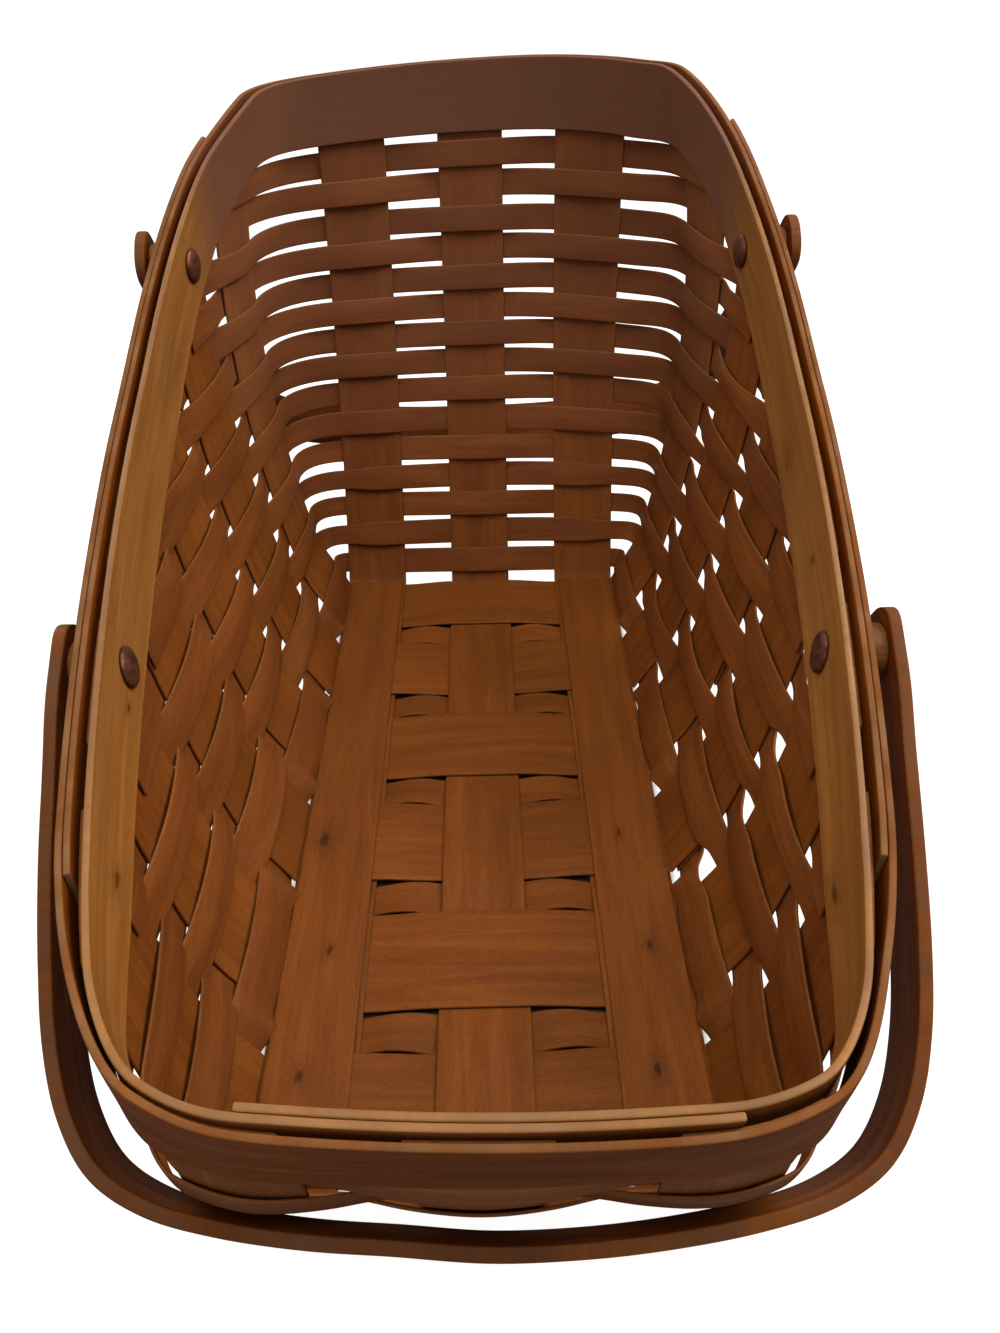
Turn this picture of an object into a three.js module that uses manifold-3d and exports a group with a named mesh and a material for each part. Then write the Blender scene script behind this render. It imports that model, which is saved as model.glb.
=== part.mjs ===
import * as THREE from "three";
import Module from "manifold-3d";

const wasm = await Module();
wasm.setup();

// Splint stock, in millimetres
const CLEARANCE = 0.24;
const UPRIGHT_THICKNESS = 1;
const WEAVER_THICKNESS = 0.8;
const WEAVER_WIDTH = 9.2;
const LENGTHWISE_WIDTH = 25.4;
const CROSS_WIDTH = 34;
const FILLER_WIDTH = 12.8;
const REINFORCEMENT_WIDTH = 22.6;

// Floor layout
const CROSS_COUNT = 6;
const CROSS_MIDDLE = (CROSS_COUNT - 1) / 2;
const FILLER_GAP = 0.3;
const CROSS_PITCH = CROSS_WIDTH + FILLER_WIDTH + 2 * FILLER_GAP;
const LENGTHWISE_GAP = 20.5;
const LENGTHWISE_PITCH = LENGTHWISE_WIDTH + LENGTHWISE_GAP;
const REINFORCEMENT_INSET = 1.5;
const FLOOR_STEP = UPRIGHT_THICKNESS + CLEARANCE;
const FILLER_LEVEL = UPRIGHT_THICKNESS / 2;
const LOWER_LEVEL = FILLER_LEVEL + FLOOR_STEP;
const UPPER_LEVEL = LOWER_LEVEL + FLOOR_STEP;
const REINFORCEMENT_LEVEL = UPPER_LEVEL + FLOOR_STEP;
const FLOOR_HALF_LENGTH = ((CROSS_COUNT - 1) * CROSS_PITCH + CROSS_WIDTH) / 2;
const FLOOR_HALF_WIDTH = LENGTHWISE_PITCH + LENGTHWISE_WIDTH / 2;
const EDGE_HOLD = 0.4;
const SLOPE_STOPS = [0.25, 0.5, 0.75];

// Wall form, heights measured from the floor's upper side
const WALL_BASE = UPPER_LEVEL + UPRIGHT_THICKNESS / 2;
const SIDE_BEND = 5.8;
const SIDE_BASE = FLOOR_HALF_WIDTH + SIDE_BEND;
const SIDE_FLARE = 0.393;
const SIDE_CURL = 0.00117;
const SIDE_BOW = 0.098;
const SIDE_BOW_REACH = 127;
const SIDE_BOW_CENTRE = 16.5;
const END_BEND = 1.4;
const BACK_BASE = FLOOR_HALF_LENGTH + END_BEND;
const BACK_FLARE = 0.53;
const BACK_CURL = 0.00138;
const BACK_BOW = 3;
const BACK_BOW_HEIGHT = 100;
const BACK_TILT = 0.046;
const BACK_TILT_EASING = 150;
const BACK_TILT_FROM = 90;
const BACK_TILT_OVER = 80;
const BACK_RIM = 200;
const FRONT_BASE = FLOOR_HALF_LENGTH + END_BEND;
const FRONT_FLARE = 0.6;
const FRONT_CURL = 0.00197;
const FRONT_BOW = 4.1;
const FRONT_SKEW = 1.8;
const FRONT_BELLY = 1.8;
const FRONT_WAVE = 0.8;
const BELLY_FOOT = 4;
const BELLY_TOP = 64;
const FRONT_RIM = 84;
const FRONT_TOP = 100;
const FAN_MEAN = 0.05;
const FAN_STEP = 0.022;
const CORNER_PULL = { back: 0.5, left: 0.6, front: 0.26, right: 0.34 };
const CORNER_STEPS = 5;
const BEND_TOP = 10;
const BEND_STEPS = 3;
const SLOPE_STEP = 0.5;

// Weaver rows
const ROW_GAP = 2.03;
const ROW_PITCH = WEAVER_WIDTH + ROW_GAP;
const ROW_RISE = 2.2;
const ROW_BASE = WALL_BASE + ROW_RISE;
const ROW_OFFSET = UPRIGHT_THICKNESS / 2 + CLEARANCE + WEAVER_THICKNESS / 2;
const ROW_TUCK = 10;
const ROW_END_STEP = 0.25;

// Rim line: distance along the basket, then height of the rim's upper edge
const RIM_LINE = [
  [-180, 87.3], [-150, 87.6], [-135, 88.6], [-118, 92], [-90, 101.2], [-60, 110.6], [-30, 119.6],
  [0, 129.3], [30, 139.9], [60, 154], [90, 169.9], [117, 184.6], [143, 195], [165, 199.8],
  [188, 201], [200, 201],
];
const RIM_GUESS = 120;
const RIM_ROUNDS = 7;
const RIM_STEP = 2;
const BAND_WIDTH = 25.4;
const BAND_LEAN = 0.97;
const BAND_THICKNESS = 1.8;
const CHANNEL_WIDE = ROW_OFFSET + WEAVER_THICKNESS / 2 + CLEARANCE;
const CHANNEL_SLACK = 2.4 * CLEARANCE;
const CHANNEL_NARROW = UPRIGHT_THICKNESS / 2 + CHANNEL_SLACK;
const CHANNEL_BLEND = 16;
const CHANNEL_FRONT = -114;
const CHANNEL_BACK = 160;
const BAND_LAP = BAND_THICKNESS + CLEARANCE;
const UPRIGHT_DROP = 3;
const LAP_LEFT = -38;
const LAP_RIGHT = 44;
const LAP_LEAVE = -168;
const FRONT_LINE = -150;
const STOP_GAP = 2;
const BACK_BAND_END = -103;
const FRONT_BAND_END = 124;
const LAP_BLEND = 34;

// Handles, rivets and spacers
const HANDLE_WIDTH = 18;
const HANDLE_THICKNESS = 3.1;
const HANDLE_CHAMFER = 0.9;
const EAR_REACH = 10.4;
const HANDLE_REACH = 128.3;

// Bow outline: share of the handle's half width, then share of its reach
const BOW_SHAPE = [
  [1, 0], [0.999, 0.0857], [0.986, 0.2182], [0.972, 0.3897], [0.954, 0.5534],
  [0.928, 0.6859], [0.884, 0.795], [0.812, 0.8807], [0.7, 0.9337],
  [0.56, 0.9641], [0.38, 0.986], [0.19, 0.9984], [0, 1],
];
const LEFT_ROUNDING = 0.013;
const LEFT_ROUNDING_AT = 105;
const LEFT_ROUNDING_OVER = 62;
const HANDLE_STEPS = 2;
const EAR_TAPER = [0.5, 0.74, 0.9, 1];
const EAR_TAPER_LENGTH = 6.5;
const FRONT_PIVOT_Y = -56;
const FRONT_PIVOT_DROP = 14;
const FRONT_REST_GAP = 11.06;
const FRONT_STANDOFF = 6.36;
const FRONT_SPREAD = 0;
const FRONT_SHIFT = 1;
const FRONT_YAW = 0;
const REAR_PIVOT_Y = 89;
const REAR_PIVOT_DROP = 14.8;
const REAR_REST_GAP = 13.24;
const REAR_STANDOFF = 5.76;
const REAR_SPREAD = 3.6;
const REAR_SHIFT = 0.3;
const REAR_YAW = 1.9;
const SPREAD_FROM = 5;
const SPREAD_REACH = 60;
const SHANK_RADIUS = 2;
const HOLE_RADIUS = SHANK_RADIUS + CLEARANCE;
const HEAD_RADIUS = 5.2;
const HEAD_HEIGHT = 2.4;
const HEAD_EDGE = 0.5;
const BUTTON_RADIUS = 3.6;
const BUTTON_HEIGHT = 1.8;
const SPACER_RADIUS = 7;
const SEAT_GAP = 0.36;
const PLANE_STEP = 1;
const ROUND_SIDES = 18;
const DOME_STEPS = 3;
const WELD_REACH = 0.001;
const REST_ROUNDS = 40;

const COLOURS = {
  splint: { color: 0x8a4f26, roughness: 0.62, metalness: 0 },
  weaver: { color: 0x7d4524, roughness: 0.62, metalness: 0 },
  rim: { color: 0xa0682f, roughness: 0.5, metalness: 0 },
  handle: { color: 0x5b3218, roughness: 0.42, metalness: 0 },
  rivet: { color: 0x5a3324, roughness: 0.45, metalness: 0.8 },
};

const basket = new THREE.Group();
basket.name = "vegetable_basket";

function addPiece(parent, name, geometry, look) {
  const mesh = new THREE.Mesh(geometry, new THREE.MeshStandardMaterial(COLOURS[look]));
  mesh.name = name;
  parent.add(mesh);
  return mesh;
}

function mix(a, b, t) {
  return a + (b - a) * t;
}

function ease(t) {
  const c = Math.min(1, Math.max(0, t));
  return c * c * (3 - 2 * c);
}

// Smooth curve through a table of pairs
function along(table, x) {
  let i = 1;
  while (i < table.length - 2 && x > table[i + 1][0]) i += 1;
  const [p0, p1, p2, p3] = [table[i - 1], table[i], table[i + 1], table[Math.min(i + 2, table.length - 1)]];
  const span = p2[0] - p1[0];
  const t = Math.min(1, Math.max(0, (x - p1[0]) / span));
  const m1 = ((p2[1] - p0[1]) / (p2[0] - p0[0])) * span;
  const m2 = p3[0] > p1[0] ? ((p3[1] - p1[1]) / (p3[0] - p1[0])) * span : 0;
  const t2 = t * t;
  const t3 = t2 * t;
  return (2 * t3 - 3 * t2 + 1) * p1[1] + (t3 - 2 * t2 + t) * m1 + (3 * t2 - 2 * t3) * p2[1] + (t3 - t2) * m2;
}

function rimHeight(y) {
  return along(RIM_LINE, y);
}

// Wall form: half width of the side walls, and reach of the back and front walls
function sideReach(y, z) {
  const h = z - WALL_BASE;
  const bow = SIDE_BOW * h * ((y - SIDE_BOW_CENTRE) / SIDE_BOW_REACH) ** 2;
  return SIDE_BASE + SIDE_FLARE * h - SIDE_CURL * h * h - bow;
}

function backReach(x, z) {
  const h = z - WALL_BASE;
  const bow = BACK_BOW * (h / BACK_BOW_HEIGHT) * (x / FLOOR_HALF_WIDTH) ** 2;
  return BACK_BASE + BACK_FLARE * h - BACK_CURL * h * h - bow;
}

function frontReach(x, z) {
  const h = Math.min(z - WALL_BASE, FRONT_TOP);
  const across = x / FLOOR_HALF_WIDTH;
  const bow = (FRONT_BOW * across * across - FRONT_SKEW * across) * (h / FRONT_RIM);
  const rise = Math.min(1, Math.max(0, (h - BELLY_FOOT) / (BELLY_TOP - BELLY_FOOT)));
  const swell = Math.sin(Math.PI * rise) ** 2;
  const wave = FRONT_WAVE * Math.cos((2 * Math.PI * x) / LENGTHWISE_PITCH);
  return -(FRONT_BASE + FRONT_FLARE * h - FRONT_CURL * h * h - bow + (FRONT_BELLY + wave) * swell);
}

function crossCentre(i, z) {
  const h = z - WALL_BASE;
  return (CROSS_MIDDLE - i) * CROSS_PITCH + (FAN_MEAN - FAN_STEP * (i - CROSS_MIDDLE)) * h;
}

// A station is a place round the wall. It gives a plan point and its direction at any height.
function sideStation(side, yAt) {
  return (z) => {
    const y = yAt(z);
    const slope = (sideReach(y + SLOPE_STEP, z) - sideReach(y - SLOPE_STEP, z)) / (2 * SLOPE_STEP);
    return { x: side * sideReach(y, z), y, dx: slope, dy: side };
  };
}

function endStation(reach, x, direction) {
  return (z) => {
    const slope = (reach(x + SLOPE_STEP, z) - reach(x - SLOPE_STEP, z)) / (2 * SLOPE_STEP);
    return { x, y: reach(x, z), dx: direction, dy: direction * slope };
  };
}

function cornerStation(from, to, t, pullShare) {
  return (z) => {
    const a = from(z);
    const b = to(z);
    const la = Math.hypot(a.dx, a.dy);
    const lb = Math.hypot(b.dx, b.dy);
    const pull = pullShare * Math.hypot(b.x - a.x, b.y - a.y);
    const p = [
      [a.x, a.y],
      [a.x + (a.dx / la) * pull, a.y + (a.dy / la) * pull],
      [b.x - (b.dx / lb) * pull, b.y - (b.dy / lb) * pull],
      [b.x, b.y],
    ];
    const s = 1 - t;
    const w = [s ** 3, 3 * s * s * t, 3 * s * t * t, t ** 3];
    const place = [0, 1].map((k) => p.reduce((sum, q, n) => sum + w[n] * q[k], 0));
    const v = [s * s, 2 * s * t, t * t];
    const dir = [0, 1].map((k) => v.reduce((sum, share, n) => sum + share * (p[n + 1][k] - p[n][k]), 0));
    return { x: place[0], y: place[1], dx: dir[0], dy: dir[1] };
  };
}

// Point on the wall's middle surface, pushed outwards by an offset
function wallPoint(station, z, offset = 0) {
  const s = station(z);
  const up = station(z + SLOPE_STEP);
  const down = station(z - SLOPE_STEP);
  const tangent = new THREE.Vector3(s.dx, s.dy, 0).normalize();
  const rise = new THREE.Vector3(up.x - down.x, up.y - down.y, 2 * SLOPE_STEP);
  const normal = new THREE.Vector3().crossVectors(tangent, rise).normalize();
  const across = s.x - s.x * s.x / BACK_TILT_EASING;
  const tilt = BACK_TILT * across * (z / BACK_RIM) ** 2 * ease((s.y - BACK_TILT_FROM) / BACK_TILT_OVER);
  return {
    point: new THREE.Vector3(s.x, s.y, z + tilt).addScaledVector(normal, offset),
    normal,
  };
}

// Stations round the basket, right side first, then back, left side and front
function upright(kind, index, makeStation, signAtRowOne) {
  return { kind, index, sign: signAtRowOne, stations: [-1, 0, 1].map(makeStation) };
}

const crossSign = (i) => (i % 2 === 0 ? -1 : 1);
const uprights = [];
for (let i = CROSS_COUNT - 1; i >= 0; i -= 1) {
  const at = (v) => sideStation(1, (z) => crossCentre(i, z) + (v * CROSS_WIDTH) / 2);
  uprights.push(upright("right", i, at, crossSign(i)));
}
for (let j = 2; j >= 0; j -= 1) {
  const at = (v) => endStation(backReach, (j - 1) * LENGTHWISE_PITCH - (v * LENGTHWISE_WIDTH) / 2, -1);
  uprights.push(upright("back", j, at, j === 1 ? -1 : 1));
}
for (let i = 0; i < CROSS_COUNT; i += 1) {
  const at = (v) => sideStation(-1, (z) => crossCentre(i, z) - (v * CROSS_WIDTH) / 2);
  uprights.push(upright("left", i, at, crossSign(i)));
}
for (let j = 0; j < 3; j += 1) {
  const at = (v) => endStation(frontReach, (j - 1) * LENGTHWISE_PITCH + (v * LENGTHWISE_WIDTH) / 2, 1);
  uprights.push(upright("front", j, at, j === 1 ? 1 : -1));
}

function between(a, b, t) {
  const sameWall = a.kind === b.kind;
  const [from, to] = [a.stations[2], b.stations[0]];
  if (!sameWall) return cornerStation(from, to, t, CORNER_PULL[b.kind]);
  return (z) => {
    const p = from(z);
    const q = to(z);
    const y = mix(p.y, q.y, t);
    const x = mix(p.x, q.x, t);
    if (a.kind === "right") return sideStation(1, () => y)(z);
    if (a.kind === "left") return sideStation(-1, () => y)(z);
    if (a.kind === "back") return endStation(backReach, x, -1)(z);
    return endStation(frontReach, x, 1)(z);
  };
}

// Each stop on the ring has a station and its in or out weave for row one
const ring = [];
uprights.forEach((u, n) => {
  const next = uprights[(n + 1) % uprights.length];
  u.stations.forEach((station) => ring.push({ station, weave: u.sign }));
  const corner = u.kind !== next.kind;
  const steps = corner ? CORNER_STEPS : 2;
  for (let k = 1; k < steps; k += 1) {
    const t = k / steps;
    ring.push({ station: between(u, next, t), weave: mix(u.sign, next.sign, ease(t)) });
  }
});

// Long strip: each section is a list of corner points, in order round the section.
// Both faces are split along the same diagonals, mirrored from left to right, so strips that
// lie together stay apart.
function sweep(sections, closed = false) {
  const per = sections[0].length;
  const positions = [];
  const index = [];
  sections.forEach((section) => section.forEach((p) => positions.push(p.x, p.y, p.z)));
  const spans = closed ? sections.length : sections.length - 1;
  for (let s = 0; s < spans; s += 1) {
    const a = s * per;
    const b = ((s + 1) % sections.length) * per;
    for (let k = 0; k < per; k += 1) {
      const m = (k + 1) % per;
      const onRight = sections[s][k].x + sections[(s + 1) % sections.length][k].x > 0;
      if (k < per / 2 !== onRight) index.push(a + k, b + k, b + m, a + k, b + m, a + m);
      else index.push(a + k, b + k, a + m, b + k, b + m, a + m);
    }
  }
  if (!closed) {
    const last = (sections.length - 1) * per;
    const half = per / 2;
    for (let k = 0; k < half - 1; k += 1) {
      const [p, q, r, t] = [k, k + 1, per - 2 - k, per - 1 - k];
      index.push(p, q, r, p, r, t);
      index.push(last + p, last + r, last + q, last + p, last + t, last + r);
    }
  }
  const geometry = new THREE.BufferGeometry();
  geometry.setAttribute("position", new THREE.Float32BufferAttribute(positions, 3));
  geometry.setIndex(index);
  return outward(geometry);
}

function volumeOf(geometry) {
  const p = geometry.getAttribute("position");
  const index = geometry.getIndex();
  const [a, b, c] = [new THREE.Vector3(), new THREE.Vector3(), new THREE.Vector3()];
  let total = 0;
  for (let i = 0; i < index.count; i += 3) {
    a.fromBufferAttribute(p, index.getX(i));
    b.fromBufferAttribute(p, index.getX(i + 1));
    c.fromBufferAttribute(p, index.getX(i + 2));
    total += a.dot(b.cross(c));
  }
  return total;
}

function outward(geometry) {
  if (volumeOf(geometry) < 0) {
    const array = geometry.getIndex().array;
    for (let i = 0; i < array.length; i += 3) {
      [array[i + 1], array[i + 2]] = [array[i + 2], array[i + 1]];
    }
  }
  geometry.computeVertexNormals();
  return geometry;
}

// Section of a splint from matching outer and inner edges
function section(outer, inner) {
  return [...outer, ...inner.slice().reverse()];
}

// Weaver row between two ring positions
function weaverSection(stop, row, z) {
  const weave = row % 2 === 1 ? stop.weave : -stop.weave;
  const half = WEAVER_THICKNESS / 2;
  const edge = (height) => {
    const middle = wallPoint(stop.station, height, weave * ROW_OFFSET);
    return [1, -1].map((s) => middle.point.clone().addScaledVector(middle.normal, s * half));
  };
  const top = edge(z + WEAVER_WIDTH / 2);
  const bottom = edge(z - WEAVER_WIDTH / 2);
  return section([bottom[0], top[0]], [bottom[1], top[1]]);
}

function rowEnd(top) {
  let y = RIM_LINE[0][0];
  while (rimHeight(y) - bandDrop(y) < top && y < BACK_BASE) y += ROW_END_STEP;
  return y - ROW_TUCK;
}

function bandDrop(y) {
  const slope = (rimHeight(y + RIM_STEP) - rimHeight(y - RIM_STEP)) / (2 * RIM_STEP);
  return BAND_WIDTH * Math.hypot(1, slope) * BAND_LEAN;
}

function endStop(from, to, y, z) {
  const a = from.station(z);
  const b = to.station(z);
  const t = (y - a.y) / (b.y - a.y);
  const side = Math.sign(a.x);
  return { station: sideStation(side, () => y), weave: mix(from.weave, to.weave, t) };
}

// Rows fill the wall from the floor to the rim. Those under the rim's low front end run right round.
const rimFoot = (y) => rimHeight(y) - bandDrop(y);
const [frontEnd, backEnd] = [RIM_LINE[0][0], RIM_LINE[RIM_LINE.length - 1][0]];
const rowCount = Math.floor((rimFoot(backEnd) - ROW_BASE) / ROW_PITCH);
for (let row = 1; row <= rowCount; row += 1) {
  const z = ROW_BASE + (row - 0.5) * ROW_PITCH;
  const name = `weaver_row_${String(row).padStart(2, "0")}`;
  if (z + WEAVER_WIDTH / 2 < rimFoot(frontEnd)) {
    addPiece(basket, name, sweep(ring.map((stop) => weaverSection(stop, row, z)), true), "weaver");
    continue;
  }
  const end = rowEnd(z + WEAVER_WIDTH / 2);
  const kept = ring.filter((stop) => stop.station(z).y > end + EDGE_HOLD);
  const first = ring.indexOf(kept[0]);
  const last = ring.indexOf(kept[kept.length - 1]);
  const run = [
    endStop(ring[first - 1], ring[first], end, z),
    ...kept,
    endStop(ring[last], ring[last + 1], end, z),
  ];
  addPiece(basket, name, sweep(run.map((stop) => weaverSection(stop, row, z))), "weaver");
}

// Height where a station meets the rim line, less a drop
function topOf(station, drop) {
  let top = RIM_GUESS;
  for (let k = 0; k < RIM_ROUNDS; k += 1) top = rimHeight(station(top).y) - drop;
  return top;
}

// Wall part of an upright, from the bend to just under the rim
function wallSections(u) {
  const half = UPRIGHT_THICKNESS / 2;
  const tops = u.stations.map((station) => topOf(station, UPRIGHT_DROP));
  const count = Math.round((Math.max(...tops) - BEND_TOP) / ROW_PITCH);
  const sections = [];
  for (let k = 0; k <= count; k += 1) {
    const faces = u.stations.map((station, n) => {
      const z = mix(BEND_TOP, tops[n], k / count);
      const middle = wallPoint(station, z);
      return [1, -1].map((s) => middle.point.clone().addScaledVector(middle.normal, s * half));
    });
    sections.push(section(faces.map((f) => f[0]), faces.map((f) => f[1])));
  }
  return sections;
}

// Bend from the flat floor into the wall, as a quarter curve in each of the three lines
function bendSections(flat, wall) {
  const sections = [];
  for (let k = 1; k <= BEND_STEPS; k += 1) {
    const t = k / (BEND_STEPS + 1);
    sections.push(flat.map((p, n) => {
      const q = wall[0][n];
      const rise = wall[1][n].clone().sub(q).normalize();
      const reach = (q.z - p.z) / rise.z;
      const knee = q.clone().addScaledVector(rise, -reach);
      const s = 1 - t;
      return new THREE.Vector3(
        s * s * p.x + 2 * s * t * knee.x + t * t * q.x,
        s * s * p.y + 2 * s * t * knee.y + t * t * q.y,
        s * s * p.z + 2 * s * t * knee.z + t * t * q.z,
      );
    }));
  }
  return sections;
}

// Height of a floor splint where it crosses the others
function stepped(levels, x) {
  let k = 0;
  while (k < levels.length - 1 && x > levels[k][1] + EDGE_HOLD) k += 1;
  const [from, , level] = levels[k];
  if (x >= from - EDGE_HOLD || k === 0) return level;
  const before = levels[k - 1];
  return mix(before[2], level, ease((x - before[1] - EDGE_HOLD) / (from - before[1] - 2 * EDGE_HOLD)));
}

// The stops of a floor splint: both edges of each crossing and the slopes between them
function floorStops(levels) {
  const stops = [];
  levels.forEach(([from, to], n) => {
    stops.push(n === 0 ? from : from - EDGE_HOLD, n === levels.length - 1 ? to : to + EDGE_HOLD);
    if (n < levels.length - 1) {
      const next = levels[n + 1][0];
      SLOPE_STOPS.forEach((t) => stops.push(mix(to + EDGE_HOLD, next - EDGE_HOLD, t)));
    }
  });
  return stops;
}

const crossOver = (i, j) => (i + j) % 2 === 1;
const crossSpans = [];
for (let i = CROSS_COUNT - 1; i >= 0; i -= 1) {
  const centre = (CROSS_MIDDLE - i) * CROSS_PITCH;
  crossSpans.push({ i, from: centre - CROSS_WIDTH / 2, to: centre + CROSS_WIDTH / 2 });
}

function floorSection(place, width, level, alongX, edges) {
  const half = UPRIGHT_THICKNESS / 2;
  const line = (s) => edges.map((e) => {
    const across = (e * width) / 2;
    return alongX
      ? new THREE.Vector3(place.main, place.cross + across, level + s * half)
      : new THREE.Vector3(place.cross + across, place.main, level + s * half);
  });
  return section(line(-1), line(1));
}

// Holes for the rivets, on the two hinge lines
function holeThrough(geometry, ear, p) {
  const reach = ear + 2 * HANDLE_THICKNESS;
  const drill = wasm.Manifold.cylinder(2 * reach, HOLE_RADIUS, HOLE_RADIUS, ROUND_SIDES)
    .rotate([0, 90, 0])
    .translate([-reach, 0, 0])
    .rotate([0, 0, p.yaw])
    .translate([p.x, p.y, p.z]);
  return fromManifold(toManifold(geometry).subtract(drill));
}

function toManifold(geometry) {
  const mesh = new wasm.Mesh({
    numProp: 3,
    vertProperties: new Float32Array(geometry.getAttribute("position").array),
    triVerts: new Uint32Array(geometry.getIndex().array),
  });
  mesh.merge();
  return wasm.Manifold.ofMesh(mesh);
}

function fromManifold(solid) {
  const mesh = solid.getMesh();
  const geometry = new THREE.BufferGeometry();
  geometry.setAttribute("position", new THREE.Float32BufferAttribute(mesh.vertProperties, 3));
  geometry.setIndex(Array.from(mesh.triVerts));
  geometry.computeVertexNormals();
  return geometry;
}

const pivots = [
  {
    end: "front", x: FRONT_SHIFT, y: FRONT_PIVOT_Y, z: rimHeight(FRONT_PIVOT_Y) - FRONT_PIVOT_DROP,
    yaw: FRONT_YAW, standoff: FRONT_STANDOFF, spread: FRONT_SPREAD, rounding: LEFT_ROUNDING,
    outward: -1, restGap: FRONT_REST_GAP, wall: (z) => frontReach(0, z),
  },
  {
    end: "rear", x: REAR_SHIFT, y: REAR_PIVOT_Y, z: rimHeight(REAR_PIVOT_Y) - REAR_PIVOT_DROP,
    yaw: REAR_YAW, standoff: REAR_STANDOFF, spread: REAR_SPREAD, rounding: 0,
    outward: 1, restGap: REAR_REST_GAP, wall: (z) => backReach(0, z),
  },
];

function drillSides(geometry, list) {
  return list.reduce((solid, p) => holeThrough(solid, earMiddle(p), p), geometry);
}

// Six cross splints
for (let i = 0; i < CROSS_COUNT; i += 1) {
  const levels = [0, 1, 2].map((j) => {
    const centre = (j - 1) * LENGTHWISE_PITCH;
    const level = crossOver(i, j) ? UPPER_LEVEL : LOWER_LEVEL;
    return [centre - LENGTHWISE_WIDTH / 2, centre + LENGTHWISE_WIDTH / 2, level];
  });
  const cross = (CROSS_MIDDLE - i) * CROSS_PITCH;
  const floor = floorStops(levels).map((x) => {
    const place = { main: x, cross };
    return floorSection(place, CROSS_WIDTH, stepped(levels, x), true, [-1, 0, 1]);
  });
  const wallOf = (kind) => wallSections(uprights.find((u) => u.kind === kind && u.index === i));
  const right = wallOf("right");
  const left = wallOf("left").map((s) => [s[2], s[1], s[0], s[5], s[4], s[3]]);
  const bendRight = bendSections(floor[floor.length - 1], right);
  const bendLeft = bendSections(floor[0], left);
  const run = [...left.slice().reverse(), ...bendLeft.slice().reverse(), ...floor, ...bendRight, ...right];
  const reached = pivots.filter((p) => Math.abs(p.y - crossCentre(i, p.z)) < CROSS_WIDTH / 2);
  addPiece(basket, `cross_splint_${i + 1}`, drillSides(sweep(run), reached), "splint");
}

// Three lengthwise splints
const LENGTHWISE_NAMES = ["left", "centre", "right"];
for (let j = 0; j < 3; j += 1) {
  const levelOf = (i) => (crossOver(i, j) ? LOWER_LEVEL : UPPER_LEVEL);
  const levels = crossSpans.map(({ i, from, to }) => [from, to, levelOf(i)]);
  const floor = floorStops(levels).map((y) => {
    const place = { main: y, cross: (j - 1) * LENGTHWISE_PITCH };
    return floorSection(place, LENGTHWISE_WIDTH, stepped(levels, y), false, [-1, 0, 1]);
  });
  const back = wallSections(uprights.find((u) => u.kind === "back" && u.index === j))
    .map((s) => [s[2], s[1], s[0], s[5], s[4], s[3]]);
  const front = wallSections(uprights.find((u) => u.kind === "front" && u.index === j));
  const bendBack = bendSections(floor[floor.length - 1], back);
  const bendFront = bendSections(floor[0], front);
  const run = [...front.slice().reverse(), ...bendFront.slice().reverse(), ...floor, ...bendBack, ...back];
  addPiece(basket, `${LENGTHWISE_NAMES[j]}_lengthwise_splint`, sweep(run), "splint");
}

// Fillers lie under the three lengthwise splints and rise a little between them
for (let i = 0; i < CROSS_COUNT - 1; i += 1) {
  const levels = [0, 1, 2].map((j) => {
    const centre = (j - 1) * LENGTHWISE_PITCH;
    return [centre - LENGTHWISE_WIDTH / 2, centre + LENGTHWISE_WIDTH / 2, FILLER_LEVEL];
  });
  const cross = (CROSS_MIDDLE - 0.5 - i) * CROSS_PITCH;
  const rise = (LOWER_LEVEL + UPPER_LEVEL) / 2 - FILLER_LEVEL;
  const gap = LENGTHWISE_PITCH - LENGTHWISE_WIDTH - 2 * EDGE_HOLD;
  const sections = floorStops(levels).map((x) => {
    const inGap = (Math.abs(x) - LENGTHWISE_WIDTH / 2 - EDGE_HOLD) / gap;
    const lift = inGap > 0 && inGap < 1 ? rise * Math.sin(Math.PI * inGap) : 0;
    return floorSection({ main: x, cross }, FILLER_WIDTH, FILLER_LEVEL + lift, true, [-1, 1]);
  });
  addPiece(basket, `floor_filler_${i + 1}`, sweep(sections), "splint");
}

// Reinforcement splints lie on the outer lengthwise splints, inside the walls
[-1, 1].forEach((side) => {
  const reach = FLOOR_HALF_LENGTH - REINFORCEMENT_INSET;
  const sections = [-reach, 0, reach].map((y) => {
    const place = { main: y, cross: side * LENGTHWISE_PITCH };
    return floorSection(place, REINFORCEMENT_WIDTH, REINFORCEMENT_LEVEL, false, [-1, 1]);
  });
  addPiece(basket, `${side < 0 ? "left" : "right"}_floor_reinforcement`, sweep(sections), "splint");
});

// Rim bands
function bandSection(station, side, lap = 0) {
  const top = topOf(station, 0);
  const y = station(top).y;
  const drop = bandDrop(y);
  const half = BAND_THICKNESS / 2;
  const offset = side * (channelHalf(y) + half + lap * BAND_LAP);
  const edge = (z) => [1, -1].map((s) => wallPoint(station, z, offset + s * half).point);
  const [low, high] = [edge(top - drop), edge(top)];
  return section([low[0], high[0]], [low[1], high[1]]);
}

function ringPlace(stop) {
  return stop.station(rimHeight(stop.station(RIM_GUESS).y));
}

// Half the space between the inner and the outer bands, wide only where weaver ends lie in it
function channelHalf(y) {
  const narrow = ease((CHANNEL_FRONT - y) / CHANNEL_BLEND) + ease((y - CHANNEL_BACK) / CHANNEL_BLEND);
  return mix(CHANNEL_WIDE, CHANNEL_NARROW, narrow);
}

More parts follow.
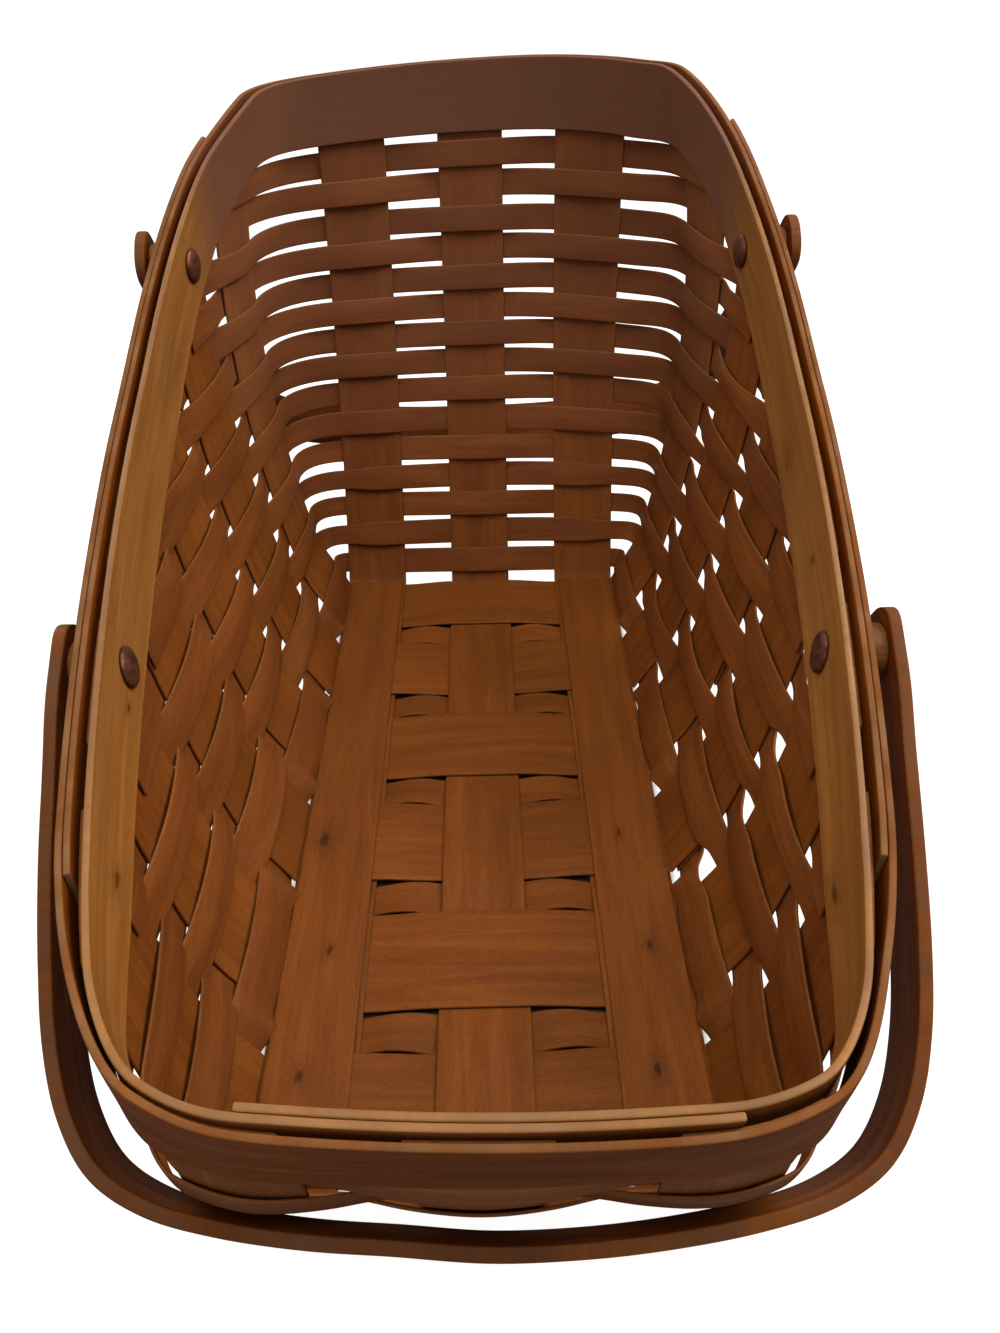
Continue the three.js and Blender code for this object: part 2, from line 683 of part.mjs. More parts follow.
// Inner band: one strip whose two ends lap across the front
const onFront = (stop) => ringPlace(stop).y < FRONT_LINE;
const lapStation = (x) => endStation(frontReach, x, 1);
const lapped = ring.filter((stop) => {
  const { x } = ringPlace(stop);
  return onFront(stop) && x > LAP_LEFT + STOP_GAP && x < LAP_RIGHT - STOP_GAP;
});
const rest = ring.slice(ring.indexOf(lapped[lapped.length - 1]) + 1);
const around = [...rest, ...ring.slice(0, ring.indexOf(lapped[0]))];
const innerRun = [
  { station: lapStation(LAP_LEFT), lap: 1 },
  ...lapped.map((stop) => ({ station: stop.station, lap: 1 })),
  ...around.map((stop) => {
    const { x, y } = ringPlace(stop);
    return { station: stop.station, lap: x > 0 ? 1 - ease((y - LAP_LEAVE) / LAP_BLEND) : 0 };
  }),
  ...lapped.map((stop) => ({ station: stop.station, lap: 0 })),
  { station: lapStation(LAP_RIGHT), lap: 0 },
];
const innerBand = sweep(innerRun.map((s) => bandSection(s.station, -1, s.lap)));
addPiece(basket, "inner_rim_band", drillSides(innerBand, pivots), "rim");

// Back outer band runs round the back and ends near the front corners
const backRun = ring
  .filter((stop) => ringPlace(stop).y > BACK_BAND_END + STOP_GAP)
  .map((stop) => stop.station);
const backStations = [
  sideStation(1, () => BACK_BAND_END),
  ...backRun,
  sideStation(-1, () => BACK_BAND_END),
];
const backBand = sweep(backStations.map((station) => bandSection(station, 1)));
addPiece(basket, "back_outer_rim_band", drillSides(backBand, pivots), "rim");

// Front outer band laps outside the back band along both sides
const turnIndex = ring.findIndex((stop) => ringPlace(stop).x < 0);
const ordered = [...ring.slice(turnIndex), ...ring.slice(0, turnIndex)];
const frontRun = ordered
  .filter((stop) => ringPlace(stop).y < FRONT_BAND_END - STOP_GAP)
  .map((stop) => stop.station);
const frontStations = [
  sideStation(-1, () => FRONT_BAND_END),
  ...frontRun,
  sideStation(1, () => FRONT_BAND_END),
];
const frontBand = sweep(frontStations.map((station) => {
  const { y } = ringPlace({ station });
  const lap = ease((y - (BACK_BAND_END - LAP_BLEND)) / (LAP_BLEND - STOP_GAP));
  return bandSection(station, 1, lap);
}));
addPiece(basket, "front_outer_rim_band", drillSides(frontBand, pivots), "rim");

// Middle of a handle's ear, measured along the hinge line
function earMiddle(p) {
  return sideReach(p.y, p.z) + channelHalf(p.y) + BAND_THICKNESS + BAND_LAP + p.standoff;
}

// Bentwood handle, built hanging straight along its own minus Y, then turned to its rest angle
function handleGeometry(p) {
  const half = earMiddle(p) - p.spread;
  const outline = BOW_SHAPE.slice(0, -1).map(([x, r]) => [x * half, r * HANDLE_REACH]);
  const points = [[half, -EAR_REACH], ...outline].map(([x, r]) => {
    const out = p.spread * (1 - ease((r - SPREAD_FROM) / SPREAD_REACH));
    return new THREE.Vector3(x + out, -r, 0);
  });
  const other = points.slice().reverse().map((at) => {
    const bump = Math.max(0, 1 - ((-at.y - LEFT_ROUNDING_AT) / LEFT_ROUNDING_OVER) ** 2);
    const shrink = 1 - p.rounding * bump;
    return new THREE.Vector3(-at.x * shrink, at.y * shrink, 0);
  });
  const middle = new THREE.Vector3(0, -HANDLE_REACH, 0);
  const curve = new THREE.CatmullRomCurve3([...points, middle, ...other], false, "centripetal");
  const segments = points.length * 2 * HANDLE_STEPS;
  const places = [];
  const taperCount = EAR_TAPER.length - 1;
  const inset = EAR_TAPER_LENGTH / curve.getLength();
  for (let k = 0; k < taperCount; k += 1) places.push((k / taperCount) * inset);
  for (let k = 0; k <= segments; k += 1) places.push(mix(inset, 1 - inset, k / segments));
  for (let k = taperCount - 1; k >= 0; k -= 1) places.push(1 - (k / taperCount) * inset);
  const sections = places.map((u, n) => {
    const fromEnd = Math.min(n, places.length - 1 - n);
    const taper = fromEnd < taperCount ? EAR_TAPER[fromEnd] : 1;
    const at = curve.getPointAt(u);
    const tangent = curve.getTangentAt(u);
    const out = new THREE.Vector3(tangent.y, -tangent.x, 0).normalize();
    const w = (HANDLE_WIDTH / 2) * taper;
    const t = HANDLE_THICKNESS / 2;
    const c = HANDLE_CHAMFER;
    const corners = [
      [-t + c, -w], [t - c, -w], [t, -w + c], [t, w - c],
      [t - c, w], [-t + c, w], [-t, w - c], [-t, -w + c],
    ];
    return corners.map(([a, b]) => at.clone().addScaledVector(out, a).add(new THREE.Vector3(0, 0, b)));
  });
  return holeThrough(sweep(sections), earMiddle(p), { x: 0, y: 0, z: 0, yaw: 0 });
}

// A handle hangs until its bow leans on the wall: the angle below the level at which its middle
// stands off the wall by the rest gap
function restAngle(p) {
  let [level, upright] = [0, Math.PI / 2];
  for (let k = 0; k < REST_ROUNDS; k += 1) {
    const angle = (level + upright) / 2;
    const out = p.outward * p.y + HANDLE_REACH * Math.cos(angle);
    const clear = out - p.outward * p.wall(p.z - HANDLE_REACH * Math.sin(angle));
    if (clear > p.restGap) level = angle;
    else upright = angle;
  }
  return level;
}

// A group for each hinge line: the line is its X axis
pivots.forEach((p) => {
  p.group = new THREE.Group();
  p.group.position.set(p.x, p.y, p.z);
  p.group.rotation.z = THREE.MathUtils.degToRad(p.yaw);
  basket.add(p.group);
  const swing = new THREE.Group();
  swing.rotation.x = p.outward < 0 ? restAngle(p) : Math.PI - restAngle(p);
  p.group.add(swing);
  addPiece(swing, `${p.end}_handle`, handleGeometry(p), "handle");
});

// Spacers and rivets at the four handle ears
function lathe(profile) {
  const points = profile.map(([r, x]) => new THREE.Vector2(r, x));
  const geometry = new THREE.LatheGeometry(points, ROUND_SIDES);
  geometry.rotateZ(-Math.PI / 2);
  return geometry;
}

// Plane of a rim band's face near a rivet, seen from the hinge line's own group
function bandPlane(p, side, offset) {
  const axis = THREE.MathUtils.degToRad(p.yaw);
  const at = (along, up) => {
    const y = p.y + side * Math.sin(axis) * sideReach(p.y, p.z) + along;
    return sideReach(y, p.z + up) + offset;
  };
  const slope = (at(PLANE_STEP, 0) - at(-PLANE_STEP, 0)) / (2 * PLANE_STEP);
  return {
    x: at(0, 0) - side * p.x,
    lean: (at(0, PLANE_STEP) - at(0, -PLANE_STEP)) / (2 * PLANE_STEP),
    yaw: slope + side * Math.tan(axis),
  };
}

pivots.forEach((p) => {
  const earInner = earMiddle(p) - HANDLE_THICKNESS / 2;
  const half = channelHalf(p.y);
  [-1, 1].forEach((side) => {
    const where = side < 0 ? "left" : "right";
    const outer = bandPlane(p, side, half + BAND_THICKNESS + BAND_LAP);
    const inner = bandPlane(p, side, -half - BAND_THICKNESS);
    const followed = (geometry, limit, plane, base) => {
      const at = geometry.getAttribute("position");
      for (let k = 0; k < at.count; k += 1) {
        const x = at.getX(k);
        const y = at.getY(k);
        const onBand = plane.x + plane.lean * at.getZ(k) + plane.yaw * y;
        at.setX(k, side * (x < limit ? x - base + onBand : x));
      }
      return outward(weld(geometry));
    };
    const spacer = lathe([
      [HOLE_RADIUS, 0], [SPACER_RADIUS, 0], [SPACER_RADIUS, earInner - CLEARANCE],
      [HOLE_RADIUS, earInner - CLEARANCE], [HOLE_RADIUS, 0],
    ]);
    addPiece(p.group, `${p.end}_${where}_spacer`, followed(spacer, STOP_GAP, outer, -SEAT_GAP), "rim");

    const headFace = inner.x - SEAT_GAP;
    const earOuter = earInner + HANDLE_THICKNESS + CLEARANCE;
    const dome = (radius, height, base, direction) => Array.from({ length: DOME_STEPS + 1 }, (_, k) => {
      const a = (k / DOME_STEPS) * (Math.PI / 2);
      const rise = HEAD_EDGE + (height - HEAD_EDGE) * Math.sin(a);
      return [k < DOME_STEPS ? radius * Math.cos(a) : 0, base + direction * rise];
    });
    const rivet = lathe([
      ...dome(HEAD_RADIUS, HEAD_HEIGHT, headFace, -1).reverse(),
      [HEAD_RADIUS, headFace], [SHANK_RADIUS, headFace], [SHANK_RADIUS, earOuter], [BUTTON_RADIUS, earOuter],
      ...dome(BUTTON_RADIUS, BUTTON_HEIGHT, earOuter, 1),
    ]);
    const seated = followed(rivet, headFace + STOP_GAP, inner, inner.x);
    addPiece(p.group, `${p.end}_${where}_rivet`, seated, "rivet");
  });
});

// Joins the points that lie together, and drops the faces that have no area
function weld(geometry) {
  const p = geometry.getAttribute("position");
  const index = geometry.getIndex();
  const seen = new Map();
  const points = [];
  const map = [];
  for (let i = 0; i < p.count; i += 1) {
    const key = [p.getX(i), p.getY(i), p.getZ(i)].map((v) => Math.round(v / WELD_REACH)).join(",");
    if (!seen.has(key)) {
      seen.set(key, points.length / 3);
      points.push(p.getX(i), p.getY(i), p.getZ(i));
    }
    map.push(seen.get(key));
  }
  const kept = [];
  for (let i = 0; i < index.count; i += 3) {
    const [a, b, c] = [0, 1, 2].map((k) => map[index.getX(i + k)]);
    if (a !== b && b !== c && a !== c) kept.push(a, b, c);
  }
  const out = new THREE.BufferGeometry();
  out.setAttribute("position", new THREE.Float32BufferAttribute(points, 3));
  out.setIndex(kept);
  return out;
}

// Origin under the middle of the whole object, on the surface it stands on
basket.updateMatrixWorld(true);
const extent = new THREE.Box3().setFromObject(basket);
const middle = extent.getCenter(new THREE.Vector3());
basket.position.set(-middle.x, -middle.y, -extent.min.z);

export default basket;
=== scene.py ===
import math
import random

import bpy
import numpy as np
from mathutils import Matrix, Vector


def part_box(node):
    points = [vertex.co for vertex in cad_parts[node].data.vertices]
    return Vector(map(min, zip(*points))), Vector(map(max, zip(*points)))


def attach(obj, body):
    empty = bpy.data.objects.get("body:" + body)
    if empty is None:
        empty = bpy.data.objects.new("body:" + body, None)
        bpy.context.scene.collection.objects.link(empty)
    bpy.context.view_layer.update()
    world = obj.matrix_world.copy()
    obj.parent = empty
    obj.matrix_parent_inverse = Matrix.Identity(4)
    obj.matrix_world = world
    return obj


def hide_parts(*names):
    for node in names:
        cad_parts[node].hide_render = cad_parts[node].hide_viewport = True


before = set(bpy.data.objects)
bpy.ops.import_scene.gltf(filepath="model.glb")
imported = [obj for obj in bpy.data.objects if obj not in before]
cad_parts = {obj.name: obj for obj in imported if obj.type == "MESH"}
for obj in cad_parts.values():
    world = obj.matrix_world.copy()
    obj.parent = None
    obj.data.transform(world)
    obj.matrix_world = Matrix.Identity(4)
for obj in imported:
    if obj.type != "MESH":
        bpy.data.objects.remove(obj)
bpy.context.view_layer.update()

# Floor fillers: five narrow strips of splint, one in each space between two cross splints.
# They are plain hardwood veneer, stained, and lie lowest of all, under the lengthwise splints.
# Lengths below are in millimetres from the middle of the floor, as on the bench.
MM = 0.001
CLEARANCE = 0.24
UPRIGHT_THICKNESS = 1.0
CROSS_COUNT = 6
CROSS_MIDDLE = (CROSS_COUNT - 1) / 2
CROSS_WIDTH = 34.0
FILLER_WIDTH = 12.8
FILLER_GAP = 0.3
FILLER_TAPER, TAPER_FROM, TAPER_OVER = 1.7, 11.0, 19.0
FILLER_STEPS = 61
CROSS_PITCH = CROSS_WIDTH + FILLER_WIDTH + 2 * FILLER_GAP
LENGTHWISE_WIDTH = 25.4
LENGTHWISE_GAP = 20.5
LENGTHWISE_PITCH = LENGTHWISE_WIDTH + LENGTHWISE_GAP
FLOOR_STEP = UPRIGHT_THICKNESS + CLEARANCE
FILLER_LEVEL = UPRIGHT_THICKNESS / 2
LOWER_LEVEL = FILLER_LEVEL + FLOOR_STEP
UPPER_LEVEL = LOWER_LEVEL + FLOOR_STEP
FLOOR_HALF_LENGTH = ((CROSS_COUNT - 1) * CROSS_PITCH + CROSS_WIDTH) / 2
FLOOR_HALF_WIDTH = LENGTHWISE_PITCH + LENGTHWISE_WIDTH / 2
EDGE_HOLD = 0.4
EDGE_ROUND = 0.42
WIDE_STRIP, NARROW_PLACES, WIDE_PLACES = 20, (-0.5, 0, 0.5), (-0.62, -0.2, 0.2, 0.62)
SPLINT_RIPPLE = 0.00016
RIPPLE_SCALE = 34.0
WELD_DISTANCE = 1e-5
SEED_STEP = 0.377

filler_low, filler_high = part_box("floor_filler_3")
BENCH = Vector(((filler_low.x + filler_high.x) / 2, (filler_low.y + filler_high.y) / 2, 0.0))


def mix(a, b, t):
    return a + (b - a) * t


def ease(t):
    c = min(1.0, max(0.0, t))
    return c * c * (3 - 2 * c)


def hump(away, reach, flat):
    """One at a place, falling to nothing at its reach. A larger flat keeps more of it at one."""
    return ease(flat * max(0.0, 1 - away / reach))


def side_of(x):
    """The side of the basket: -1 at the left and 1 at the right, as in the pairs of sizes below."""
    return 1 if x > 0 else -1


def add_node(tree, kind, inputs=None, **settings):
    """Adds a node, sets its options, and fills or links its inputs by name or number."""
    node = tree.nodes.new(kind)
    for key, value in settings.items():
        setattr(node, key, value)
    for key, value in (inputs or {}).items():
        if isinstance(value, bpy.types.NodeSocket):
            tree.links.new(value, node.inputs[key])
        else:
            node.inputs[key].default_value = value
    return node


def node_adder(tree, family):
    """A short way to add nodes of one family to a tree: each call gives the new node's first output."""
    def add(kind, inputs=None, **settings):
        return add_node(tree, family + kind, inputs, **settings).outputs[0]
    return add


def splint_stock_tree():
    """Turns the middle surface of a strip into stock of a given thickness with eased edges."""
    tree = bpy.data.node_groups.new("splint_stock", "GeometryNodeTree")
    face = tree.interface
    face.new_socket("Sheet", in_out="INPUT", socket_type="NodeSocketGeometry")
    kinds = {"Thickness": "Float", "Ripple": "Float", "Seed": "Float", "Rounding": "Int",
             "Finish": "Material"}
    keys = {}
    for name, kind in kinds.items():
        socket = face.new_socket(name, in_out="INPUT", socket_type="NodeSocket" + kind)
        keys[name] = socket.identifier
    face.new_socket("Splint", in_out="OUTPUT", socket_type="NodeSocketGeometry")
    given = add_node(tree, "NodeGroupInput").outputs
    step = node_adder(tree, "GeometryNode")
    value = node_adder(tree, "ShaderNode")
    normal = step("InputNormal")
    place = step("InputPosition")
    noise = value("TexNoise", {"Vector": place, "W": given["Seed"], "Scale": RIPPLE_SCALE,
                               "Detail": 1.0}, noise_dimensions="4D")
    wave = value("Math", {0: noise, 1: 0.5}, operation="SUBTRACT")
    swell = value("Math", {0: wave, 1: given["Ripple"]}, operation="MULTIPLY")
    half = value("Math", {0: given["Thickness"], 1: -0.5}, operation="MULTIPLY")
    depth = value("Math", {0: swell, 1: half}, operation="ADD")
    shift = value("VectorMath", {0: normal, "Scale": depth}, operation="SCALE")
    moved = step("SetPosition", {"Geometry": given["Sheet"], "Offset": shift})
    risen = step("ExtrudeMesh", {"Mesh": moved, "Offset Scale": given["Thickness"],
                                 "Individual": False}, mode="FACES")
    under = step("FlipFaces", {"Mesh": moved})
    both = add_node(tree, "GeometryNodeJoinGeometry")
    tree.links.new(risen, both.inputs[0])
    tree.links.new(under, both.inputs[0])
    closed = step("MergeByDistance", {"Geometry": both.outputs[0], "Distance": WELD_DISTANCE})
    eased = step("SubdivisionSurface", {"Mesh": closed, "Level": given["Rounding"]})
    smooth = step("SetShadeSmooth", {"Geometry": eased})
    whole = step("RealizeInstances", {"Geometry": smooth})
    done = step("SetMaterial", {"Geometry": whole, "Material": given["Finish"]})
    out = add_node(tree, "NodeGroupOutput")
    tree.links.new(done, out.inputs[0])
    return tree, keys


def across(width):
    """Places across a strip, from -1 to 1, with one close to each edge to keep the edge firm."""
    edge = 1 - 2 * EDGE_ROUND / width
    inner = NARROW_PLACES if width < WIDE_STRIP else WIDE_PLACES
    return [-1, -edge, *inner, edge, 1]


stock_tree, stock_keys = splint_stock_tree()
piece_count = 0


def plain_mesh(piece):
    """What the modifiers make of a piece, as its own mesh, with the modifiers gone."""
    depsgraph = bpy.context.evaluated_depsgraph_get()
    made = bpy.data.meshes.new_from_object(piece.evaluated_get(depsgraph), depsgraph=depsgraph)
    piece.modifiers.clear()
    piece.data = made
    return made


def make_splint(name, rows, width, thickness, finish, node,
                body="basket", rounding=1, ripple=SPLINT_RIPPLE):
    """Makes a strip from its middle surface: rows of points across it, in millimetres."""
    global piece_count
    piece_count += 1
    grid = np.array(rows, float)
    for first, second, place in ((0, 1, 1), (-1, -2, len(grid))):
        stride = np.linalg.norm(grid[second] - grid[first], axis=1).mean()
        share = EDGE_ROUND / max(EDGE_ROUND * 2, stride)
        grid = np.insert(grid, place, mix(grid[first], grid[second], share), axis=0)
    n, m = grid.shape[:2]
    mesh = bpy.data.meshes.new(name)
    faces = [(i * m + j, i * m + j + 1, (i + 1) * m + j + 1, (i + 1) * m + j)
             for i in range(n - 1) for j in range(m - 1)]
    mesh.from_pydata([tuple(p) for p in grid.reshape(-1, 3) * MM + np.array(BENCH)], [], faces)
    middle = grid[:, m // 2]
    run = np.concatenate([[0], np.cumsum(np.linalg.norm(np.diff(middle, axis=0), axis=1))]) * MM
    spread = np.array(across(width)) * width / 2 * MM
    grain = np.zeros((n, m, 3), np.float32)
    grain[:, :, 0] = run[:, None]
    grain[:, :, 1] = spread[None, :]
    grain[:, :, 2] = piece_count * SEED_STEP
    edge = np.zeros((n, m), np.float32)
    edge[:, 0] = edge[:, -1] = edge[0, :] = edge[-1, :] = 1
    mesh.attributes.new("grain", "FLOAT_VECTOR", "POINT").data.foreach_set("vector", grain.ravel())
    mesh.attributes.new("edge", "FLOAT", "POINT").data.foreach_set("value", edge.ravel())
    piece = bpy.data.objects.new(name, mesh)
    bpy.context.scene.collection.objects.link(piece)
    stock = piece.modifiers.new("stock", "NODES")
    stock.node_group = stock_tree
    given = {"Thickness": thickness * MM, "Ripple": ripple, "Seed": float(piece_count),
             "Rounding": rounding, "Finish": finish}
    for key, value in given.items():
        stock[stock_keys[key]] = value
    plain_mesh(piece)
    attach(piece, body)
    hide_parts(node)


# Where the painted shade at the high back of the basket lies: its start and end along the basket, and its
# low and high ends in height.
BACK_SHADE_FROM, BACK_SHADE_TO = 0.088, 0.116
BACK_SHADE_LOW, BACK_SHADE_HIGH = 0.030, 0.120
KNOT_SHAPE = Vector((1.25, 0.62, 1.0))
RAMP_LOW, RAMP_MIDDLE, RAMP_HIGH = 0.3, 0.52, 0.72
BUMP_DEPTH = 0.0004


def empty_material(name):
    """A new material and its node tree, with nothing in it yet."""
    material = bpy.data.materials.new(name)
    material.use_nodes = True
    material.node_tree.nodes.clear()
    return material, material.node_tree


def stained_wood(name, deep, middle, light, gloss=0.5, coat=0.0, wear=0.35, fleck=0.5, knots=0.0,
                 bare=(0.26, 0.11, 0.036), back_shade=(0.24, 0.100, 0.058), back_shade_share=0.3, shine=0.14,
                 marks=()):
    """Stained hardwood whose grain runs along each strip, after the strip's own grain attribute.

    Its edges are worn to bare wood, and towards the high back of the basket its colour is blended towards a
    darker colour, as painted shade.
    Marks are the larger knots: place and radius of each, on the bench.
    """
    material, tree = empty_material(name)
    step = node_adder(tree, "ShaderNode")
    grain = add_node(tree, "ShaderNodeAttribute", attribute_name="grain").outputs["Vector"]
    edge = add_node(tree, "ShaderNodeAttribute", attribute_name="edge").outputs["Fac"]

    def stretched(along, over, piece):
        """How fast a pattern changes along a strip, over its width and from piece to piece."""
        return step("Mapping", {"Vector": grain, "Scale": (along, over, piece)})

    def noise(vector, detail=3.0, rough=0.55, twist=0.0):
        return step("TexNoise", {"Vector": vector, "Scale": 1.0, "Detail": detail, "Roughness": rough,
                                 "Distortion": twist})

    def math_of(operation, a, b=0.0, clamp=False):
        return step("Math", {0: a, 1: b}, operation=operation, use_clamp=clamp)

    def distance(a, b):
        return add_node(tree, "ShaderNodeVectorMath", {0: a, 1: b}, operation="DISTANCE").outputs["Value"]

    def ranged(value, low, high, to_low=0.0, to_high=1.0):
        return step("MapRange", {"Value": value, "From Min": low, "From Max": high,
                                 "To Min": to_low, "To Max": to_high})

    def grey_of(value):
        return step("CombineColor", {0: value, 1: value, 2: value})

    def blended(factor, a, b, blend="MIX"):
        node = add_node(tree, "ShaderNodeMix", data_type="RGBA", blend_type=blend)
        for key, value in ((0, factor), (6, a), (7, b)):
            if isinstance(value, bpy.types.NodeSocket):
                tree.links.new(value, node.inputs[key])
            else:
                node.inputs[key].default_value = value
        return node.outputs[2]

    figure = noise(stretched(16, 190, 31), 4.0, 0.6, 0.7)
    fibre = noise(stretched(60, 2600, 17), 2.0, 0.6)
    speckle = noise(stretched(800, 1200, 3), 2.0)
    blotch = noise(stretched(11, 34, 7), 2.0)
    dashes = noise(stretched(420, 3400, 13), 1.0)
    tone = noise(stretched(0.6, 3, 97), 0.0)
    ramp = add_node(tree, "ShaderNodeValToRGB", {"Fac": figure})
    stops = ramp.color_ramp.elements
    stops[0].position, stops[0].color = RAMP_LOW, (*deep, 1)
    stops[1].position, stops[1].color = RAMP_HIGH, (*light, 1)
    stops.new(RAMP_MIDDLE).color = (*middle, 1)
    colour = ramp.outputs[0]
    shade = math_of("MULTIPLY", ranged(blotch, 0.3, 0.7, 0.86, 1.12), ranged(tone, 0.3, 0.7, 0.88, 1.12))
    shade = math_of("MULTIPLY", shade, ranged(fibre, 0.3, 0.7, 0.93, 1.06))
    shade = math_of("MULTIPLY", shade, ranged(speckle, 0.35, 0.65, 0.92, 1.08))
    shade = math_of("MULTIPLY", shade, ranged(dashes, 0.66, 0.78, 1.0, 1.0 - 0.4 * fleck))
    colour = blended(1.0, colour, grey_of(shade), "MULTIPLY")
    if knots:
        cells = add_node(tree, "ShaderNodeTexVoronoi", {"Vector": stretched(17, 27, 5), "Scale": 1.0,
                                                        "Randomness": 1.0})
        pick = add_node(tree, "ShaderNodeSeparateColor", {0: cells.outputs["Color"]}).outputs[0]
        rare = ranged(pick, 1 - knots, 1.001 - knots)
        spot = ranged(cells.outputs["Distance"], 0.035, 0.075, 1.0, 0.0)
        halo = ranged(cells.outputs["Distance"], 0.05, 0.2, 0.4, 0.0)
        dark = math_of("MULTIPLY", math_of("MAXIMUM", spot, halo), rare, True)
        colour = blended(math_of("MULTIPLY", dark, 0.82), colour, (*[c * 0.2 for c in deep], 1))
    patchy = ranged(noise(stretched(90, 300, 3), 3.0), 0.35, 0.65, 0.35, 1.0)
    worn = math_of("MULTIPLY", ranged(edge, 0.45, 1.0, 0.0, wear), patchy)
    grime = ranged(noise(stretched(70, 500, 11), 2.0), 0.35, 0.62, 0.72, 1.05)
    colour = blended(worn, colour, blended(1.0, (*bare, 1), grey_of(grime), "MULTIPLY"))
    at = add_node(tree, "ShaderNodeTexCoord").outputs["Object"]
    ragged = ranged(noise(stretched(350, 1300, 3), 2.0), 0.3, 0.7, 0.7, 1.35)
    drawn = step("VectorMath", {0: at, 1: KNOT_SHAPE}, operation="MULTIPLY")
    for x, y, z, radius in marks:
        knot_at = (Vector((x, y, z)) * MM + BENCH) * KNOT_SHAPE
        away = math_of("MULTIPLY", distance(drawn, knot_at), ragged)
        core = ranged(away, 0.4 * radius * MM, 0.9 * radius * MM, 0.8, 0.0)
        halo = ranged(away, 0.6 * radius * MM, 2.4 * radius * MM, 0.3, 0.0)
        colour = blended(math_of("MAXIMUM", core, halo), colour, (*[c * 0.2 for c in deep], 1))
    # Painted shade: towards the high back of the basket the colour is blended towards a darker back-shade
    # colour, for the shade that falls there.
    place = add_node(tree, "ShaderNodeSeparateXYZ", {0: at})
    far_back_shade = ranged(place.outputs["Y"], BENCH.y + BACK_SHADE_FROM, BENCH.y + BACK_SHADE_TO, 0.0, back_shade_share)
    high = ranged(place.outputs["Z"], BACK_SHADE_LOW, BACK_SHADE_HIGH)
    colour = blended(math_of("MULTIPLY", far_back_shade, high), colour, (*back_shade, 1))
    rough = math_of("ADD", ranged(figure, 0.3, 0.7, gloss + 0.06, gloss - 0.04),
                    ranged(fibre, 0.3, 0.7, 0.04, -0.04))
    rise = math_of("ADD", math_of("MULTIPLY", fibre, 0.7), math_of("MULTIPLY", figure, 0.5))
    bump = step("Bump", {"Height": rise, "Strength": 0.32, "Distance": BUMP_DEPTH})
    surface = step("BsdfPrincipled", {"Base Color": colour, "Roughness": rough, "Normal": bump,
                                      "Specular IOR Level": shine, "Coat Weight": coat,
                                      "Coat Roughness": 0.28})
    add_node(tree, "ShaderNodeOutputMaterial", {"Surface": surface})
    return material


FLOOR_MARKS = ((-51.2, -24.7, 4.7, 3.0), (-44.4, -68.7, 4.7, 1.7), (-47.9, -108.9, 4.7, 1.9),
               (44.0, -24.2, 4.7, 1.5), (47.9, -69.7, 4.7, 1.7), (44.6, -109.3, 4.7, 1.9))
floor_wood = stained_wood("stained_floor_splint", (0.158, 0.043, 0.0060), (0.190, 0.054, 0.0073),
                          (0.228, 0.069, 0.0098), gloss=0.58, knots=0.3, fleck=0.8, marks=FLOOR_MARKS)


def floor_row(place, along_x, cross, width, level):
    """One row of points across a splint that lies on the floor."""
    row = []
    for v in across(width):
        over = cross + v * width / 2
        row.append((place, over, level) if along_x else (over, place, level))
    return row


for i in range(CROSS_COUNT - 1):
    rise = (LOWER_LEVEL + UPPER_LEVEL) / 2 - FILLER_LEVEL
    gap = LENGTHWISE_PITCH - LENGTHWISE_WIDTH - 2 * EDGE_HOLD
    rows = []
    for x in np.linspace(-FLOOR_HALF_WIDTH, FLOOR_HALF_WIDTH, FILLER_STEPS):
        in_gap = (abs(x) - LENGTHWISE_WIDTH / 2 - EDGE_HOLD) / gap
        lift = rise * math.sin(math.pi * in_gap) if 0 < in_gap < 1 else 0.0
        width = FILLER_WIDTH - FILLER_TAPER * ease((abs(x) - TAPER_FROM) / TAPER_OVER)
        rows.append(floor_row(x, True, (CROSS_MIDDLE - 0.5 - i) * CROSS_PITCH, width, FILLER_LEVEL + lift))
    node = f"floor_filler_{i + 1}"
    make_splint(f"filler_strip_{i + 1}", rows, FILLER_WIDTH, UPRIGHT_THICKNESS, floor_wood, node)

# Cross splints: six wide strips that run up one side wall, across the floor and up the other.
# They are cut from veneer 1 mm thick, soaked, bent at the floor's edge and woven with the
# lengthwise splints. The wall's form below is what the soaked splints take on the mould.
WALL_BASE = UPPER_LEVEL + UPRIGHT_THICKNESS / 2
SIDE_BEND, END_BEND = 5.8, 1.4
SIDE_BASE = FLOOR_HALF_WIDTH + SIDE_BEND
SIDE_FLARE, SIDE_CURL = 0.393, 0.00117
SIDE_BOW, SIDE_BOW_REACH, SIDE_BOW_CENTRE = 0.091, 127.0, 16.5
SIDE_TOE, TOE_HEIGHT = {-1: 5.2, 1: 4.8}, 24.0
FRONT_TURN, FRONT_TURN_FROM, FRONT_TURN_OVER = {-1: 2.8, 1: 2.2}, 105.0, 30.0
BACK_TURN, BACK_TURN_FROM, BACK_TURN_OVER = {-1: -4.1, 1: 0.5}, 122.0, 35.0
END_BASE = FLOOR_HALF_LENGTH + END_BEND
BACK_FLARE, BACK_CURL = 0.53, 0.00138
BACK_BOW, BACK_BOW_HEIGHT = 3.7, 100.0
BACK_ROUND, BACK_ROUND_FROM, BACK_ROUND_HEIGHT = {-1: 1.0, 1: 11.0}, 18.0, 190.0
BACK_TILT, BACK_TILT_EASING, BACK_TILT_FROM, BACK_TILT_OVER, BACK_RIM = 0.046, 150.0, 90.0, 80.0, 200.0
FRONT_FLARE, FRONT_CURL = 0.6, 0.00197
